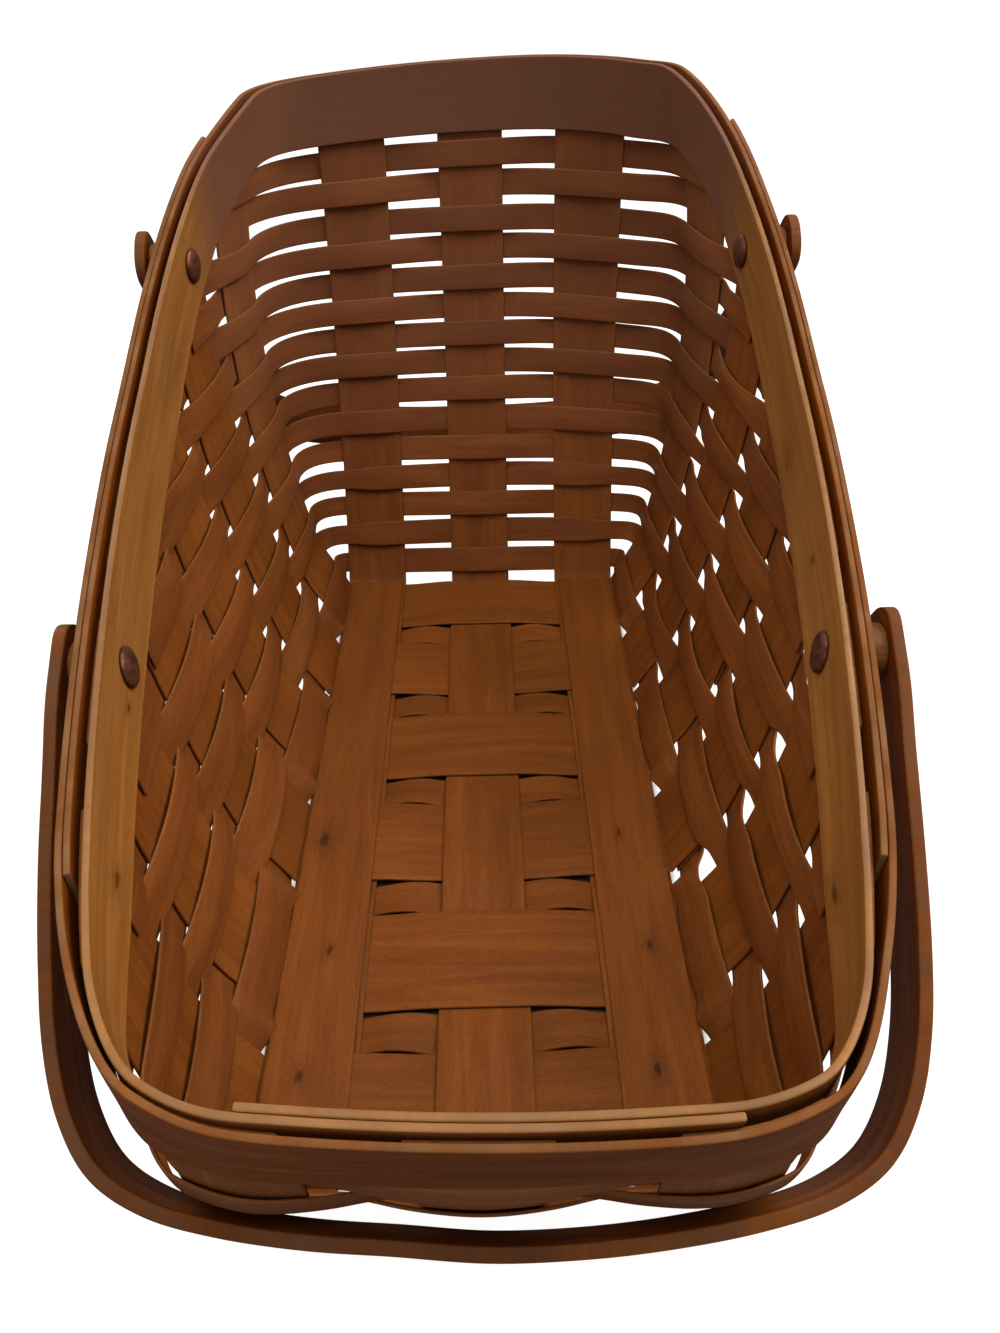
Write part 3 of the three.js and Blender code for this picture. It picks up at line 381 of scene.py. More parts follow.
FRONT_BOW, FRONT_SKEW, FRONT_RIM, FRONT_TOP = 4.1, 1.8, 84.0, 100.0
FRONT_BELLY, FRONT_WAVE, BELLY_FOOT, BELLY_TOP = 4.0, 0.8, 4.0, 70.0
FRONT_ROUND, FRONT_ROUND_FROM = {-1: 4.8, 1: 4.0}, 40.0
FAN_MEAN, FAN_STEP = 0.05, 0.022
CORNER_PULL = {"back": 0.5, "left": 0.42, "front": 0.28, "right": 0.28}
BEND_TOP, BEND_STEPS = 10.0, 8
WALL_STEP, CROSS_STEPS = 4.0, 49
UPRIGHT_DROP = 3.0
SLOPE_STEP = 0.5
RIM_GUESS, RIM_ROUNDS = 120.0, 7
RIM_LINE = [(-180, 87.3), (-150, 87.6), (-135, 88.6), (-118, 92), (-90, 101.2), (-60, 110.6), (-30, 119.6),
            (0, 129.3), (30, 139.9), (60, 154), (90, 169.9), (117, 184.6), (143, 195), (165, 199.8),
            (188, 201), (200, 201)]


def rim_height(y):
    """Height of the rim's upper edge along the basket: a smooth curve through the rim line."""
    i = 1
    while i < len(RIM_LINE) - 2 and y > RIM_LINE[i + 1][0]:
        i += 1
    p0, p1, p2, p3 = RIM_LINE[i - 1], RIM_LINE[i], RIM_LINE[i + 1], RIM_LINE[min(i + 2, len(RIM_LINE) - 1)]
    span = p2[0] - p1[0]
    t = min(1.0, max(0.0, (y - p1[0]) / span))
    m1 = (p2[1] - p0[1]) / (p2[0] - p0[0]) * span
    m2 = (p3[1] - p1[1]) / (p3[0] - p1[0]) * span
    return ((2 * t**3 - 3 * t**2 + 1) * p1[1] + (t**3 - 2 * t**2 + t) * m1
            + (3 * t**2 - 2 * t**3) * p2[1] + (t**3 - t**2) * m2)


def side_reach(side, y, z):
    """How far a side wall stands out. It turns inwards towards both corners."""
    h = z - WALL_BASE
    bow = SIDE_BOW * h * ((y - SIDE_BOW_CENTRE) / SIDE_BOW_REACH) ** 2
    toe = SIDE_TOE[side] * (1 - ease(h / TOE_HEIGHT))
    low = min(h, FRONT_TOP) / FRONT_RIM
    bow += FRONT_TURN[side] * low * max(0.0, (-y - FRONT_TURN_FROM) / FRONT_TURN_OVER) ** 2
    bow += BACK_TURN[side] * (h / BACK_ROUND_HEIGHT) * max(0.0, (y - BACK_TURN_FROM) / BACK_TURN_OVER) ** 2
    return SIDE_BASE + SIDE_FLARE * h - SIDE_CURL * h * h - bow - toe


def rounding(x, start):
    """Grows from nothing to one over the outer part of an end wall, up to its corner."""
    return max(0.0, (abs(x) - start) / (FLOOR_HALF_WIDTH - start)) ** 2


def back_reach(x, z):
    """How far the back wall stands out from the middle of the floor."""
    h = z - WALL_BASE
    bow = BACK_BOW * (h / BACK_BOW_HEIGHT) * (x / FLOOR_HALF_WIDTH) ** 2
    bow += BACK_ROUND[side_of(x)] * (h / BACK_ROUND_HEIGHT) * rounding(x, BACK_ROUND_FROM)
    return END_BASE + BACK_FLARE * h - BACK_CURL * h * h - bow


def front_reach(x, z):
    """Where the front wall stands. It bellies out between the floor and the rim."""
    h = min(z - WALL_BASE, FRONT_TOP)
    across_floor = x / FLOOR_HALF_WIDTH
    bow = (FRONT_BOW * across_floor**2 - FRONT_SKEW * across_floor) * (h / FRONT_RIM)
    bow += FRONT_ROUND[side_of(x)] * (h / FRONT_RIM) * rounding(x, FRONT_ROUND_FROM)
    rise = min(1.0, max(0.0, (h - BELLY_FOOT) / (BELLY_TOP - BELLY_FOOT)))
    wave = FRONT_WAVE * math.cos(2 * math.pi * x / LENGTHWISE_PITCH)
    swell = (FRONT_BELLY + wave) * math.sin(math.pi * rise) ** 2
    return -(END_BASE + FRONT_FLARE * h - FRONT_CURL * h * h - bow + swell)


def cross_centre(i, z):
    """Place along the basket of a cross splint's middle. The splints fan out as they rise."""
    h = z - WALL_BASE
    return (CROSS_MIDDLE - i) * CROSS_PITCH + (FAN_MEAN - FAN_STEP * (i - CROSS_MIDDLE)) * h


def side_station(side, y_at):
    """A place on a side wall: gives the plan point and its direction at any height."""
    def at(z):
        y = y_at(z)
        gain = side_reach(side, y + SLOPE_STEP, z) - side_reach(side, y - SLOPE_STEP, z)
        return side * side_reach(side, y, z), y, gain / (2 * SLOPE_STEP), side
    return at


def end_station(reach, x, direction):
    """A place on the back or the front wall."""
    def at(z):
        slope = (reach(x + SLOPE_STEP, z) - reach(x - SLOPE_STEP, z)) / (2 * SLOPE_STEP)
        return x, reach(x, z), direction, direction * slope
    return at


def corner_station(start, end, t, share):
    """A place on the rounded corner between two walls."""
    def at(z):
        a, b = start(z), end(z)
        pull = share * math.hypot(b[0] - a[0], b[1] - a[1])
        la, lb = math.hypot(a[2], a[3]), math.hypot(b[2], b[3])
        p = [(a[0], a[1]), (a[0] + a[2] / la * pull, a[1] + a[3] / la * pull),
             (b[0] - b[2] / lb * pull, b[1] - b[3] / lb * pull), (b[0], b[1])]
        s = 1 - t
        w = (s**3, 3 * s * s * t, 3 * s * t * t, t**3)
        d = (s * s, 2 * s * t, t * t)
        x, y = (sum(w[n] * p[n][k] for n in range(4)) for k in (0, 1))
        dx, dy = (sum(d[n] * (p[n + 1][k] - p[n][k]) for n in range(3)) for k in (0, 1))
        return x, y, dx, dy
    return at


def wall_point(station, z, offset=0.0):
    """A point on the wall's middle surface, pushed outwards by an offset."""
    x, y, dx, dy = station(z)
    up, down = station(z + SLOPE_STEP), station(z - SLOPE_STEP)
    rise = Vector((up[0] - down[0], up[1] - down[1], 2 * SLOPE_STEP))
    normal = Vector((dx, dy, 0)).cross(rise).normalized()
    lean = x - x * x / BACK_TILT_EASING
    tilt = BACK_TILT * lean * (z / BACK_RIM) ** 2 * ease((y - BACK_TILT_FROM) / BACK_TILT_OVER)
    return Vector((x, y, z + tilt)) + normal * offset


def top_of(station, drop):
    """Height where a place on the wall meets the rim line, less a drop."""
    top = RIM_GUESS
    for _ in range(RIM_ROUNDS):
        top = rim_height(station(top)[1]) - drop
    return top


def wall_rows(station_at, width):
    """The wall part of an upright splint, from the bend to just under the rim."""
    stations = [station_at(v) for v in across(width)]
    tops = [top_of(station, UPRIGHT_DROP) for station in stations]
    count = round((max(tops) - BEND_TOP) / WALL_STEP)
    return [[wall_point(s, mix(BEND_TOP, top, k / count)) for s, top in zip(stations, tops)]
            for k in range(count + 1)]


def bend_rows(flat, wall):
    """The bend from the flat floor into the wall."""
    rows = []
    for k in range(1, BEND_STEPS + 1):
        t = k / (BEND_STEPS + 1)
        row = []
        for p, q, above in zip(flat, wall[0], wall[1]):
            rise = (above - q).normalized()
            knee = q - rise * ((q.z - p[2]) / rise.z)
            row.append(Vector(p) * (1 - t) ** 2 + knee * 2 * t * (1 - t) + q * t * t)
        rows.append(row)
    return rows


def stepped(levels, x):
    """Height of a floor splint where it crosses over and under the others."""
    k = 0
    while k < len(levels) - 1 and x > levels[k][1] + EDGE_HOLD:
        k += 1
    start, _, level = levels[k]
    if x >= start - EDGE_HOLD or k == 0:
        return level
    before = levels[k - 1]
    return mix(before[2], level, ease((x - before[1] - EDGE_HOLD) / (start - before[1] - 2 * EDGE_HOLD)))


def splint_rows(start_wall, floor, end_wall):
    """A whole splint: down one wall, along the floor and up the other wall."""
    first, last = bend_rows(floor[0], start_wall), bend_rows(floor[-1], end_wall)
    return start_wall[::-1] + first[::-1] + floor + last + end_wall


for i in range(CROSS_COUNT):
    levels = []
    for j in range(3):
        start = (j - 1) * LENGTHWISE_PITCH - LENGTHWISE_WIDTH / 2
        levels.append((start, start + LENGTHWISE_WIDTH, UPPER_LEVEL if (i + j) % 2 else LOWER_LEVEL))
    floor = [floor_row(x, True, (CROSS_MIDDLE - i) * CROSS_PITCH, CROSS_WIDTH, stepped(levels, x))
             for x in np.linspace(-FLOOR_HALF_WIDTH, FLOOR_HALF_WIDTH, CROSS_STEPS)]

    def edge_line(side, v):
        return side_station(side, lambda z: cross_centre(i, z) + v * CROSS_WIDTH / 2)

    walls = [wall_rows(lambda v: edge_line(side, v), CROSS_WIDTH) for side in (-1, 1)]
    rows = splint_rows(walls[0], floor, walls[1])
    node = f"cross_splint_{i + 1}"
    make_splint(f"cross_strip_{i + 1}", rows, CROSS_WIDTH, UPRIGHT_THICKNESS, floor_wood, node)

# Lengthwise splints: three inch-wide strips that run up the low front, along the floor and up
# the high back. Each goes over and under the cross splints in turn, the middle one against
# the other two.
LENGTHWISE_NAMES = ("left", "centre", "right")
LENGTHWISE_STEPS = 97
for j, side_name in enumerate(LENGTHWISE_NAMES):
    levels = []
    for i in reversed(range(CROSS_COUNT)):
        start = (CROSS_MIDDLE - i) * CROSS_PITCH - CROSS_WIDTH / 2
        levels.append((start, start + CROSS_WIDTH, LOWER_LEVEL if (i + j) % 2 else UPPER_LEVEL))
    middle = (j - 1) * LENGTHWISE_PITCH
    floor = [floor_row(y, False, middle, LENGTHWISE_WIDTH, stepped(levels, y))
             for y in np.linspace(-FLOOR_HALF_LENGTH, FLOOR_HALF_LENGTH, LENGTHWISE_STEPS)]
    walls = [wall_rows(lambda v: end_station(reach, middle + v * LENGTHWISE_WIDTH / 2, 1), LENGTHWISE_WIDTH)
             for reach in (front_reach, back_reach)]
    rows = splint_rows(walls[0], floor, walls[1])
    node = f"{side_name}_lengthwise_splint"
    make_splint(f"lengthwise_strip_{side_name}", rows, LENGTHWISE_WIDTH, UPRIGHT_THICKNESS, floor_wood,
                node)

# Floor reinforcement: two plain strips laid on the outer lengthwise splints, inside the walls.
# They carry the load of the vegetables and are glued down.
REINFORCEMENT_WIDTH = 22.6
REINFORCEMENT_LEVEL = UPPER_LEVEL + FLOOR_STEP
REINFORCEMENT_HALF = FLOOR_HALF_LENGTH - 1.5
REINFORCEMENT_STEPS = 81
for side, side_name in ((-1, "left"), (1, "right")):
    rows = [floor_row(y, False, side * LENGTHWISE_PITCH, REINFORCEMENT_WIDTH, REINFORCEMENT_LEVEL)
            for y in np.linspace(-REINFORCEMENT_HALF, REINFORCEMENT_HALF, REINFORCEMENT_STEPS)]
    node = f"{side_name}_floor_reinforcement"
    make_splint(f"reinforcement_strip_{side_name}", rows, REINFORCEMENT_WIDTH, UPRIGHT_THICKNESS,
                floor_wood, node)

# Weaver rows: fifteen narrow strips woven round the uprights. The lowest five go right round,
# with their ends lapped outside an upright. The others end under the sloping rim on each side.
WEAVER_WIDTH = 9.2
WEAVER_THICKNESS = 0.8
ROW_GAP, FOOT_GAP = 2.03, 2.2
ROW_PITCH = WEAVER_WIDTH + ROW_GAP
ROW_BASE = WALL_BASE + FOOT_GAP
ROW_OFFSET = UPRIGHT_THICKNESS / 2 + CLEARANCE + WEAVER_THICKNESS / 2
ROW_ARCH = 0.16
ROW_TUCK = 10.0
ROW_STEP = 0.25
LAP_PLAY = 0.1
LAP_RISE = WEAVER_THICKNESS + LAP_PLAY
LAP_UPRIGHTS, LAP_TURN, LAP_CLIMB = (2, 3, 10, 11), 5, 3
WANDER_SEED, WANDER_WAVES = 7, 5
ROW_WANDER = 0.2
ROW_BEAT = (-0.2, 0.1, 0.2, 0.1, 0.0, 0.2, 1.1, 0.7, 0.3, -0.3, -0.5, -0.5, -0.9, 0.7, 0.3)
ROW_CALM = 0.25
END_SPREAD = 1.05
BACK_SIDE_END, BACK_SIDE_FADE, FRONT_SIDE_END, FRONT_SIDE_FADE = 95.0, 30.0, -125.0, 15.0
SIDE_SPREAD, FAR_SPREAD = {-1: 1.5, 1: 1.38}, {-1: 1.17, 1: 1.12}
FAR_FROM, FAR_OVER = -10.0, 90.0
LOOSE, LOOSE_TURN, LOOSE_WAVE = {-1: 0.04, 1: 0.42}, 2.3, 0.045
FRONT_SPREAD, FRONT_FADE, FRONT_FROM, FRONT_OVER = {-1: 1.26, 1: 1.16}, 60.0, -110.0, 20.0
BACK_SPREAD, BACK_ROWS = 0.84, 6
OPEN_ACROSS, OPEN_FROM, OPEN_FADE = 44.0, 112.0, 14.0
SIDE_SAG, SAG_ROWS = 1.6, 4
SIDE_TUCK = {-1: 4.4, 1: 3.4}
CORNER_DIP, DIP_ROW, DIP_PLACE, DIP_REACH, DIP_FLAT = 4.8, 5, (58.0, -142.0), 18.0, 1.5
GAPE, GAPE_PLACE, GAPE_REACH, GAPE_FLAT, GAPE_ROWS = 2.5, -50.0, 11.0, 1.4, 6
LOBE_BULGE, LOBE_CUP, LOBE_FADE = 1.0, 0.32, 8.0
BAND_WIDTH = 25.4
BAND_LEAN = 0.97
UPRIGHT_STOPS = (-1, -0.8, -0.5, -0.17, 0.17, 0.5, 0.8, 1)
GAP_STEPS, CORNER_STEPS = 7, 14
weaver_wood = stained_wood("stained_weaver", (0.150, 0.042, 0.0080), (0.188, 0.055, 0.0105),
                           (0.235, 0.075, 0.0150), gloss=0.54, fleck=0.5)


def uprights_round():
    """Every upright in turn, right side first: its wall, its sign in row one and its stations."""
    found = []
    for i in reversed(range(CROSS_COUNT)):
        found.append(("right", -1 if i % 2 == 0 else 1, lambda v, i=i: side_station(
            1, lambda z: cross_centre(i, z) + v * CROSS_WIDTH / 2)))
    for j in (2, 1, 0):
        found.append(("back", -1 if j == 1 else 1, lambda v, j=j: end_station(
            back_reach, (j - 1) * LENGTHWISE_PITCH - v * LENGTHWISE_WIDTH / 2, -1)))
    for i in range(CROSS_COUNT):
        found.append(("left", -1 if i % 2 == 0 else 1, lambda v, i=i: side_station(
            -1, lambda z: cross_centre(i, z) - v * CROSS_WIDTH / 2)))
    for j in (0, 1, 2):
        found.append(("front", 1 if j == 1 else -1, lambda v, j=j: end_station(
            front_reach, (j - 1) * LENGTHWISE_PITCH + v * LENGTHWISE_WIDTH / 2, 1)))
    return found


def between(kind, next_kind, start, end, t):
    """A place in the gap between two uprights, or on the corner between two walls."""
    if kind != next_kind:
        return corner_station(start, end, t, CORNER_PULL[next_kind])

    def at(z):
        p, q = start(z), end(z)
        x, y = mix(p[0], q[0], t), mix(p[1], q[1], t)
        if kind in ("left", "right"):
            return side_station(1 if kind == "right" else -1, lambda _: y)(z)
        return end_station(back_reach if kind == "back" else front_reach, x, -1 if kind == "back" else 1)(z)
    return at


def ring_stops():
    """Stops round the basket: a station, the weave in row one, and the upright it lies on."""
    stops = []
    uprights = uprights_round()
    for n, (kind, sign, at) in enumerate(uprights):
        next_kind, next_sign, next_at = uprights[(n + 1) % len(uprights)]
        for v in UPRIGHT_STOPS:
            stops.append((at(v), sign * (1 + ROW_ARCH * (1 - v * v)), n))
        steps = CORNER_STEPS if kind != next_kind else GAP_STEPS
        for k in range(1, steps):
            station = between(kind, next_kind, at(1), next_at(-1), k / steps)
            stops.append((station, mix(sign, next_sign, ease(k / steps)), -1))
    return stops


def band_drop(y):
    """Height that a rim band covers, which grows where the rim slopes."""
    return BAND_WIDTH * math.hypot(1, (rim_height(y + 2) - rim_height(y - 2)) / 4) * BAND_LEAN


def on_side(y):
    """One along the side walls, nothing on the end walls."""
    near_back = ease((y - BACK_SIDE_END) / BACK_SIDE_FADE)
    near_front = ease((FRONT_SIDE_END - y) / FRONT_SIDE_FADE)
    return (1 - near_back) * (1 - near_front)


def row_half(row, x, y):
    """Half a weaver's width: closed up along the side walls, open at the foot of the back."""
    side = side_of(x)
    spread = mix(SIDE_SPREAD[side], FAR_SPREAD[side], ease((y - FAR_FROM) / FAR_OVER))
    spread -= LOOSE[side] * max(0.0, math.sin(row * LOOSE_TURN + y * LOOSE_WAVE)) ** 2
    front = mix(FRONT_SPREAD[-1], FRONT_SPREAD[1], ease((x + FRONT_FADE / 2) / FRONT_FADE))
    end = mix(END_SPREAD, front, ease((FRONT_FROM - y) / FRONT_OVER))
    low_back = ease((abs(x) - OPEN_ACROSS) / OPEN_FADE) * ease((y - OPEN_FROM) / OPEN_FADE)
    low_back *= ease((BACK_ROWS - row) / 2)
    return WEAVER_WIDTH / 2 * mix(mix(end, spread, on_side(y)), BACK_SPREAD, low_back)


def row_shift(row, x, y, phase):
    """How far a weaver strays from its even height."""
    shift = ROW_BEAT[row - 1] + ROW_WANDER * math.sin(phase + math.atan2(x, y) * WANDER_WAVES)
    shift *= mix(1, ROW_CALM, on_side(y))
    shift -= SIDE_SAG * max(0.0, 1 - (row - 1) / SAG_ROWS) * on_side(y)
    if row == DIP_ROW:
        shift -= CORNER_DIP * hump(math.dist((x, y), DIP_PLACE), DIP_REACH, DIP_FLAT)
    return shift


ring = ring_stops()
rim_foot_front = rim_height(RIM_LINE[0][0]) - band_drop(RIM_LINE[0][0])
rim_foot_back = rim_height(RIM_LINE[-1][0]) - band_drop(RIM_LINE[-1][0])
row_count = int((rim_foot_back - ROW_BASE) / ROW_PITCH)
draw = random.Random(WANDER_SEED)
for row in range(1, row_count + 1):
    middle = ROW_BASE + (row - 0.5) * ROW_PITCH
    flip = 1 if row % 2 else -1
    phase = draw.uniform(0, 2 * math.pi)
    if middle + WEAVER_WIDTH / 2 < rim_foot_front:
        outside = [n for n, (_, weave, owner) in enumerate(ring)
                   if owner in LAP_UPRIGHTS and weave * flip > 0]
        owner = ring[outside[(row * LAP_TURN) % len(outside)]][2]
        on_it = [n for n, stop in enumerate(ring) if stop[2] == owner]
        order = ring[on_it[0]:] + ring[:on_it[0]]
        run = [(s, w * flip * ROW_OFFSET) for s, w, _ in order]
        lead = [(s, w * flip * ROW_OFFSET + LAP_RISE) for s, w, _ in order[:len(on_it)]]
        climb = [(s, mix(o, ROW_OFFSET + LAP_RISE, ease((k + 1) / (LAP_CLIMB + 1))))
                 for k, (s, o) in enumerate(run[-LAP_CLIMB:])]
        run = run[:-LAP_CLIMB] + climb + lead
    else:
        end = RIM_LINE[0][0]
        while rim_height(end) - band_drop(end) < middle + WEAVER_WIDTH / 2 and end < END_BASE:
            end += ROW_STEP
        end -= ROW_TUCK
        kept = [(s, w * flip * ROW_OFFSET) for s, w, _ in ring if s(middle)[1] > end + EDGE_HOLD]
        closing = [(side_station(side, lambda z, end=end: end), offset)
                   for side, offset in ((1, kept[0][1]), (-1, kept[-1][1]))]
        run = [closing[0], *kept, closing[1]]
    rows = []
    for station, offset in run:
        x, y = station(middle)[:2]
        half = row_half(row, x, y)
        centre = middle + row_shift(row, x, y, phase)
        gape = 0.0
        if x > 0 and row <= GAPE_ROWS:
            gape = flip * GAPE * hump(abs(y - GAPE_PLACE), GAPE_REACH, GAPE_FLAT)
        tuck = 0.0
        if row == 1:
            tuck = SIDE_TUCK[side_of(x)] * on_side(y) * max(0.0, 1 - abs(offset) / ROW_OFFSET)
        free = ease((rim_height(y) - band_drop(y) - middle - half) / LOBE_FADE)
        inside = min(1.0, max(0.0, -offset / ROW_OFFSET)) * free
        swell = min(1.0, max(0.0, (-offset / ROW_OFFSET - 1) / ROW_ARCH)) * free * LOBE_BULGE
        points = []
        for v in across(WEAVER_WIDTH):
            height = centre + v * half - gape * max(0.0, flip * v)
            depth = offset - swell - LOBE_CUP * inside * (1 - v * v) - tuck * (1 - v) / 2
            points.append(wall_point(station, height, depth))
        rows.append(points)
    node = f"weaver_row_{row:02d}"
    make_splint(f"weaver_strip_{row:02d}", rows, WEAVER_WIDTH, WEAVER_THICKNESS, weaver_wood,
                node)

# Rim bands: one thick hardwood band inside, whose ends lap across the front, and two outside,
# one round the back and one round the front, lapped over each other along both sides.
# They clamp the tops of the uprights and the ends of the weavers between them.
BAND_THICKNESS = 1.6
BAND_LAP = BAND_THICKNESS + LAP_PLAY
BAND_RIPPLE = 0.0001
CHANNEL_PLAY, CHANNEL_PINCH = 0.06, 0.3
CHANNEL_WIDE = ROW_OFFSET + CHANNEL_PLAY
CHANNEL_NARROW = UPRIGHT_THICKNESS / 2 + CLEARANCE
PINCH_CENTRE, PINCH_ANGLE, PINCH_REACH = (38.0, -110.0), math.radians(58), math.radians(38)
PINCH_FLAT = 1.6
CHANNEL_BLEND, CHANNEL_FRONT, CHANNEL_BACK = 14.0, -112.0, 160.0
LAP_LEFT, LAP_RIGHT, LAP_LEAVE, LAP_BLEND = -41.0, 44.0, -176.0, 34.0
FRONT_LINE = -150.0
STOP_GAP = 2.0
BACK_BAND_END, FRONT_BAND_END = -118.0, 124.0
OUTER_BLEND = 42.0
BAND_MARKS = ((-77.9, -108.0, 78.6, 2.4), (-83.9, -65.0, 92.1, 1.4), (76.8, -113.0, 74.5, 2.6),
              (88.7, -29.0, 107.9, 1.2))
# The rim band's high back is blended almost wholly to its dark back-shade colour, as painted shade.
rim_wood = stained_wood("stained_rim_band", (0.260, 0.098, 0.0185), (0.320, 0.128, 0.0260),
                        (0.390, 0.165, 0.0370), gloss=0.46, coat=0.04, wear=0.85, fleck=0.4, knots=0.3,
                        bare=(0.225, 0.112, 0.044), back_shade=(0.165, 0.066, 0.038), back_shade_share=0.95,
                        shine=0.2, marks=BAND_MARKS)
# Painted shade: the outer bands take a darker, deeper red copy of the rim band's stain, for the shade on
# their outer faces.
shade_darkened_outer_wood = stained_wood("shade_darkened_outer_band", (0.140, 0.032, 0.0025), (0.178, 0.043, 0.0038),
                          (0.225, 0.062, 0.0070), gloss=0.56, wear=0.85, fleck=0.4, knots=0.1,
                          bare=(0.21, 0.105, 0.043), shine=0.05)


def channel_half(x, y):
    """Half the space between the inner and outer bands, wide where weaver ends lie in it.

    The bands close on each other at the two front corners, where no upright stands between them.
    """
    narrow = ease((CHANNEL_FRONT - y) / CHANNEL_BLEND) + ease((y - CHANNEL_BACK) / CHANNEL_BLEND)
    half = mix(CHANNEL_WIDE, CHANNEL_NARROW, narrow)
    if y > PINCH_CENTRE[1]:
        return half
    angle = math.atan2(PINCH_CENTRE[1] - y, abs(x) - PINCH_CENTRE[0])
    return mix(half, CHANNEL_PINCH, hump(abs(angle - PINCH_ANGLE), PINCH_REACH, PINCH_FLAT))


def rim_place(station):
    """Plan place where a station meets the rim."""
    x, y, _, _ = station(rim_height(station(RIM_GUESS)[1]))
    return x, y


def band_row(station, side, lap=0.0):
    """One row of points across a rim band."""
    top = top_of(station, 0)
    x, y = station(top)[:2]
    drop = band_drop(y)
    offset = side * (channel_half(x, y) + BAND_THICKNESS / 2 + lap * BAND_LAP)
    return [wall_point(station, top - drop * (1 - v) / 2, offset) for v in across(BAND_WIDTH)]


def make_band(name, run, side, node, finish):
    """Makes a rim band from its stops: the inner one has side -1, the outer ones side 1."""
    rows = [band_row(station, side, lap) for station, lap in run]
    make_splint(name, rows, BAND_WIDTH, BAND_THICKNESS, finish, node, rounding=2, ripple=BAND_RIPPLE)


stations = [stop[0] for stop in ring]
places = [rim_place(station) for station in stations]
lapped = [n for n, (x, y) in enumerate(places)
          if y < FRONT_LINE and LAP_LEFT + STOP_GAP < x < LAP_RIGHT - STOP_GAP]
around = list(range(lapped[-1] + 1, len(stations))) + list(range(lapped[0]))
lap_end = [end_station(front_reach, x, 1) for x in (LAP_LEFT, LAP_RIGHT)]
inner_run = [(lap_end[0], 1.0)] + [(stations[n], 1.0) for n in lapped]
inner_run += [(stations[n], 1 - ease((places[n][1] - LAP_LEAVE) / LAP_BLEND) if places[n][0] > 0 else 0.0)
              for n in around]
inner_run += [(stations[n], 0.0) for n in lapped] + [(lap_end[1], 0.0)]
make_band("rim_inner", inner_run, -1, "inner_rim_band", rim_wood)

back_run = [(side_station(1, lambda z: BACK_BAND_END), 0.0)]
back_run += [(s, 0.0) for s, place in zip(stations, places) if place[1] > BACK_BAND_END + STOP_GAP]
back_run += [(side_station(-1, lambda z: BACK_BAND_END), 0.0)]
make_band("rim_outer_back", back_run, 1, "back_outer_rim_band", shade_darkened_outer_wood)

turn = next(n for n, place in enumerate(places) if place[0] < 0)
front_run = [side_station(-1, lambda z: FRONT_BAND_END)]
front_run += [stations[n] for n in [*range(turn, len(stations)), *range(turn)]
              if places[n][1] < FRONT_BAND_END - STOP_GAP]
front_run += [side_station(1, lambda z: FRONT_BAND_END)]
front_run = [(s, ease((rim_place(s)[1] - (BACK_BAND_END - OUTER_BLEND)) / (OUTER_BLEND - STOP_GAP)))
             for s in front_run]
make_band("rim_outer_front", front_run, 1, "front_outer_rim_band", shade_darkened_outer_wood)

# Handles: two strips of steamed hardwood bent into a deep bow with rounded corners. Each hangs
# from two rivets and swings over the basket. The ears are cut round above the rivets. Hang is
# the angle at which a handle comes to rest against the basket.
HANDLE_WIDTH = 18.0
HANDLE_THICKNESS = 3.1
EAR_REACH = 10.4
HANDLE_REACH = 128.3
EAR_TAPER = (0.16, 0.5, 0.74, 0.9, 0.98, 1.0)
EAR_TAPER_LENGTH, EAR_TAPER_POWER = 7.0, 1.6
HANDLE_STEPS = 150
HANDLE_RIPPLE = 0.00018
LEFT_ROUNDING, LEFT_ROUNDING_AT, LEFT_ROUNDING_OVER = 0.013, 105.0, 62.0
SPREAD_FROM, SPREAD_REACH = 5.0, 60.0
BOW_SHAPE = [(1, 0), (0.999, 0.0857), (0.986, 0.2182), (0.972, 0.3897), (0.954, 0.5534), (0.928, 0.6859),
             (0.884, 0.795), (0.812, 0.8807), (0.7, 0.9337), (0.56, 0.9641), (0.38, 0.986), (0.19, 0.9984)]
PIVOTS = {
    "front": {"x": 1.0, "y": -56.0, "drop": 14.0, "yaw": 0.0, "standoff": 11.98, "spread": 0.0,
              "rounding": LEFT_ROUNDING, "hang": 0.6112427576},
    "rear": {"x": 0.3, "y": 89.0, "drop": 14.8, "yaw": math.radians(1.9), "standoff": 11.38, "spread": 3.6,
             "rounding": 0.0, "hang": math.pi - 0.8290681539},
}
handle_wood = stained_wood("stained_handle", (0.150, 0.0365, 0.0035), (0.200, 0.0520, 0.0058),
                           (0.260, 0.0760, 0.0110), gloss=0.42, wear=0.75, fleck=0.35, knots=0.06,
                           bare=(0.118, 0.062, 0.033), shine=0.05)


def ear_middle(p):
    """Middle of a handle's ear, measured along the hinge line."""
    z = rim_height(p["y"]) - p["drop"]
    return side_reach(1, p["y"], z) + p["standoff"]


def smooth_path(points, per_span=10):
    """Centripetal curve through the points, as a steamed strip bends."""
    pts = [2 * points[0] - points[1], *points, 2 * points[-1] - points[-2]]
    path = []
    for a, b, c, d in zip(pts, pts[1:], pts[2:], pts[3:]):
        t1 = (b - a).length ** 0.5
        t2 = t1 + (c - b).length ** 0.5
        t3 = t2 + (d - c).length ** 0.5
        for k in range(per_span):
            t = mix(t1, t2, k / per_span)
            a1 = a * (t1 - t) / t1 + b * t / t1
            a2 = b * (t2 - t) / (t2 - t1) + c * (t - t1) / (t2 - t1)
            a3 = c * (t3 - t) / (t3 - t2) + d * (t - t2) / (t3 - t2)
            b1 = a1 * (t2 - t) / t2 + a2 * t / t2
            b2 = a2 * (t3 - t) / (t3 - t1) + a3 * (t - t1) / (t3 - t1)
            path.append(b1 * (t2 - t) / (t2 - t1) + b2 * (t - t1) / (t2 - t1))
    return path + [points[-1]]


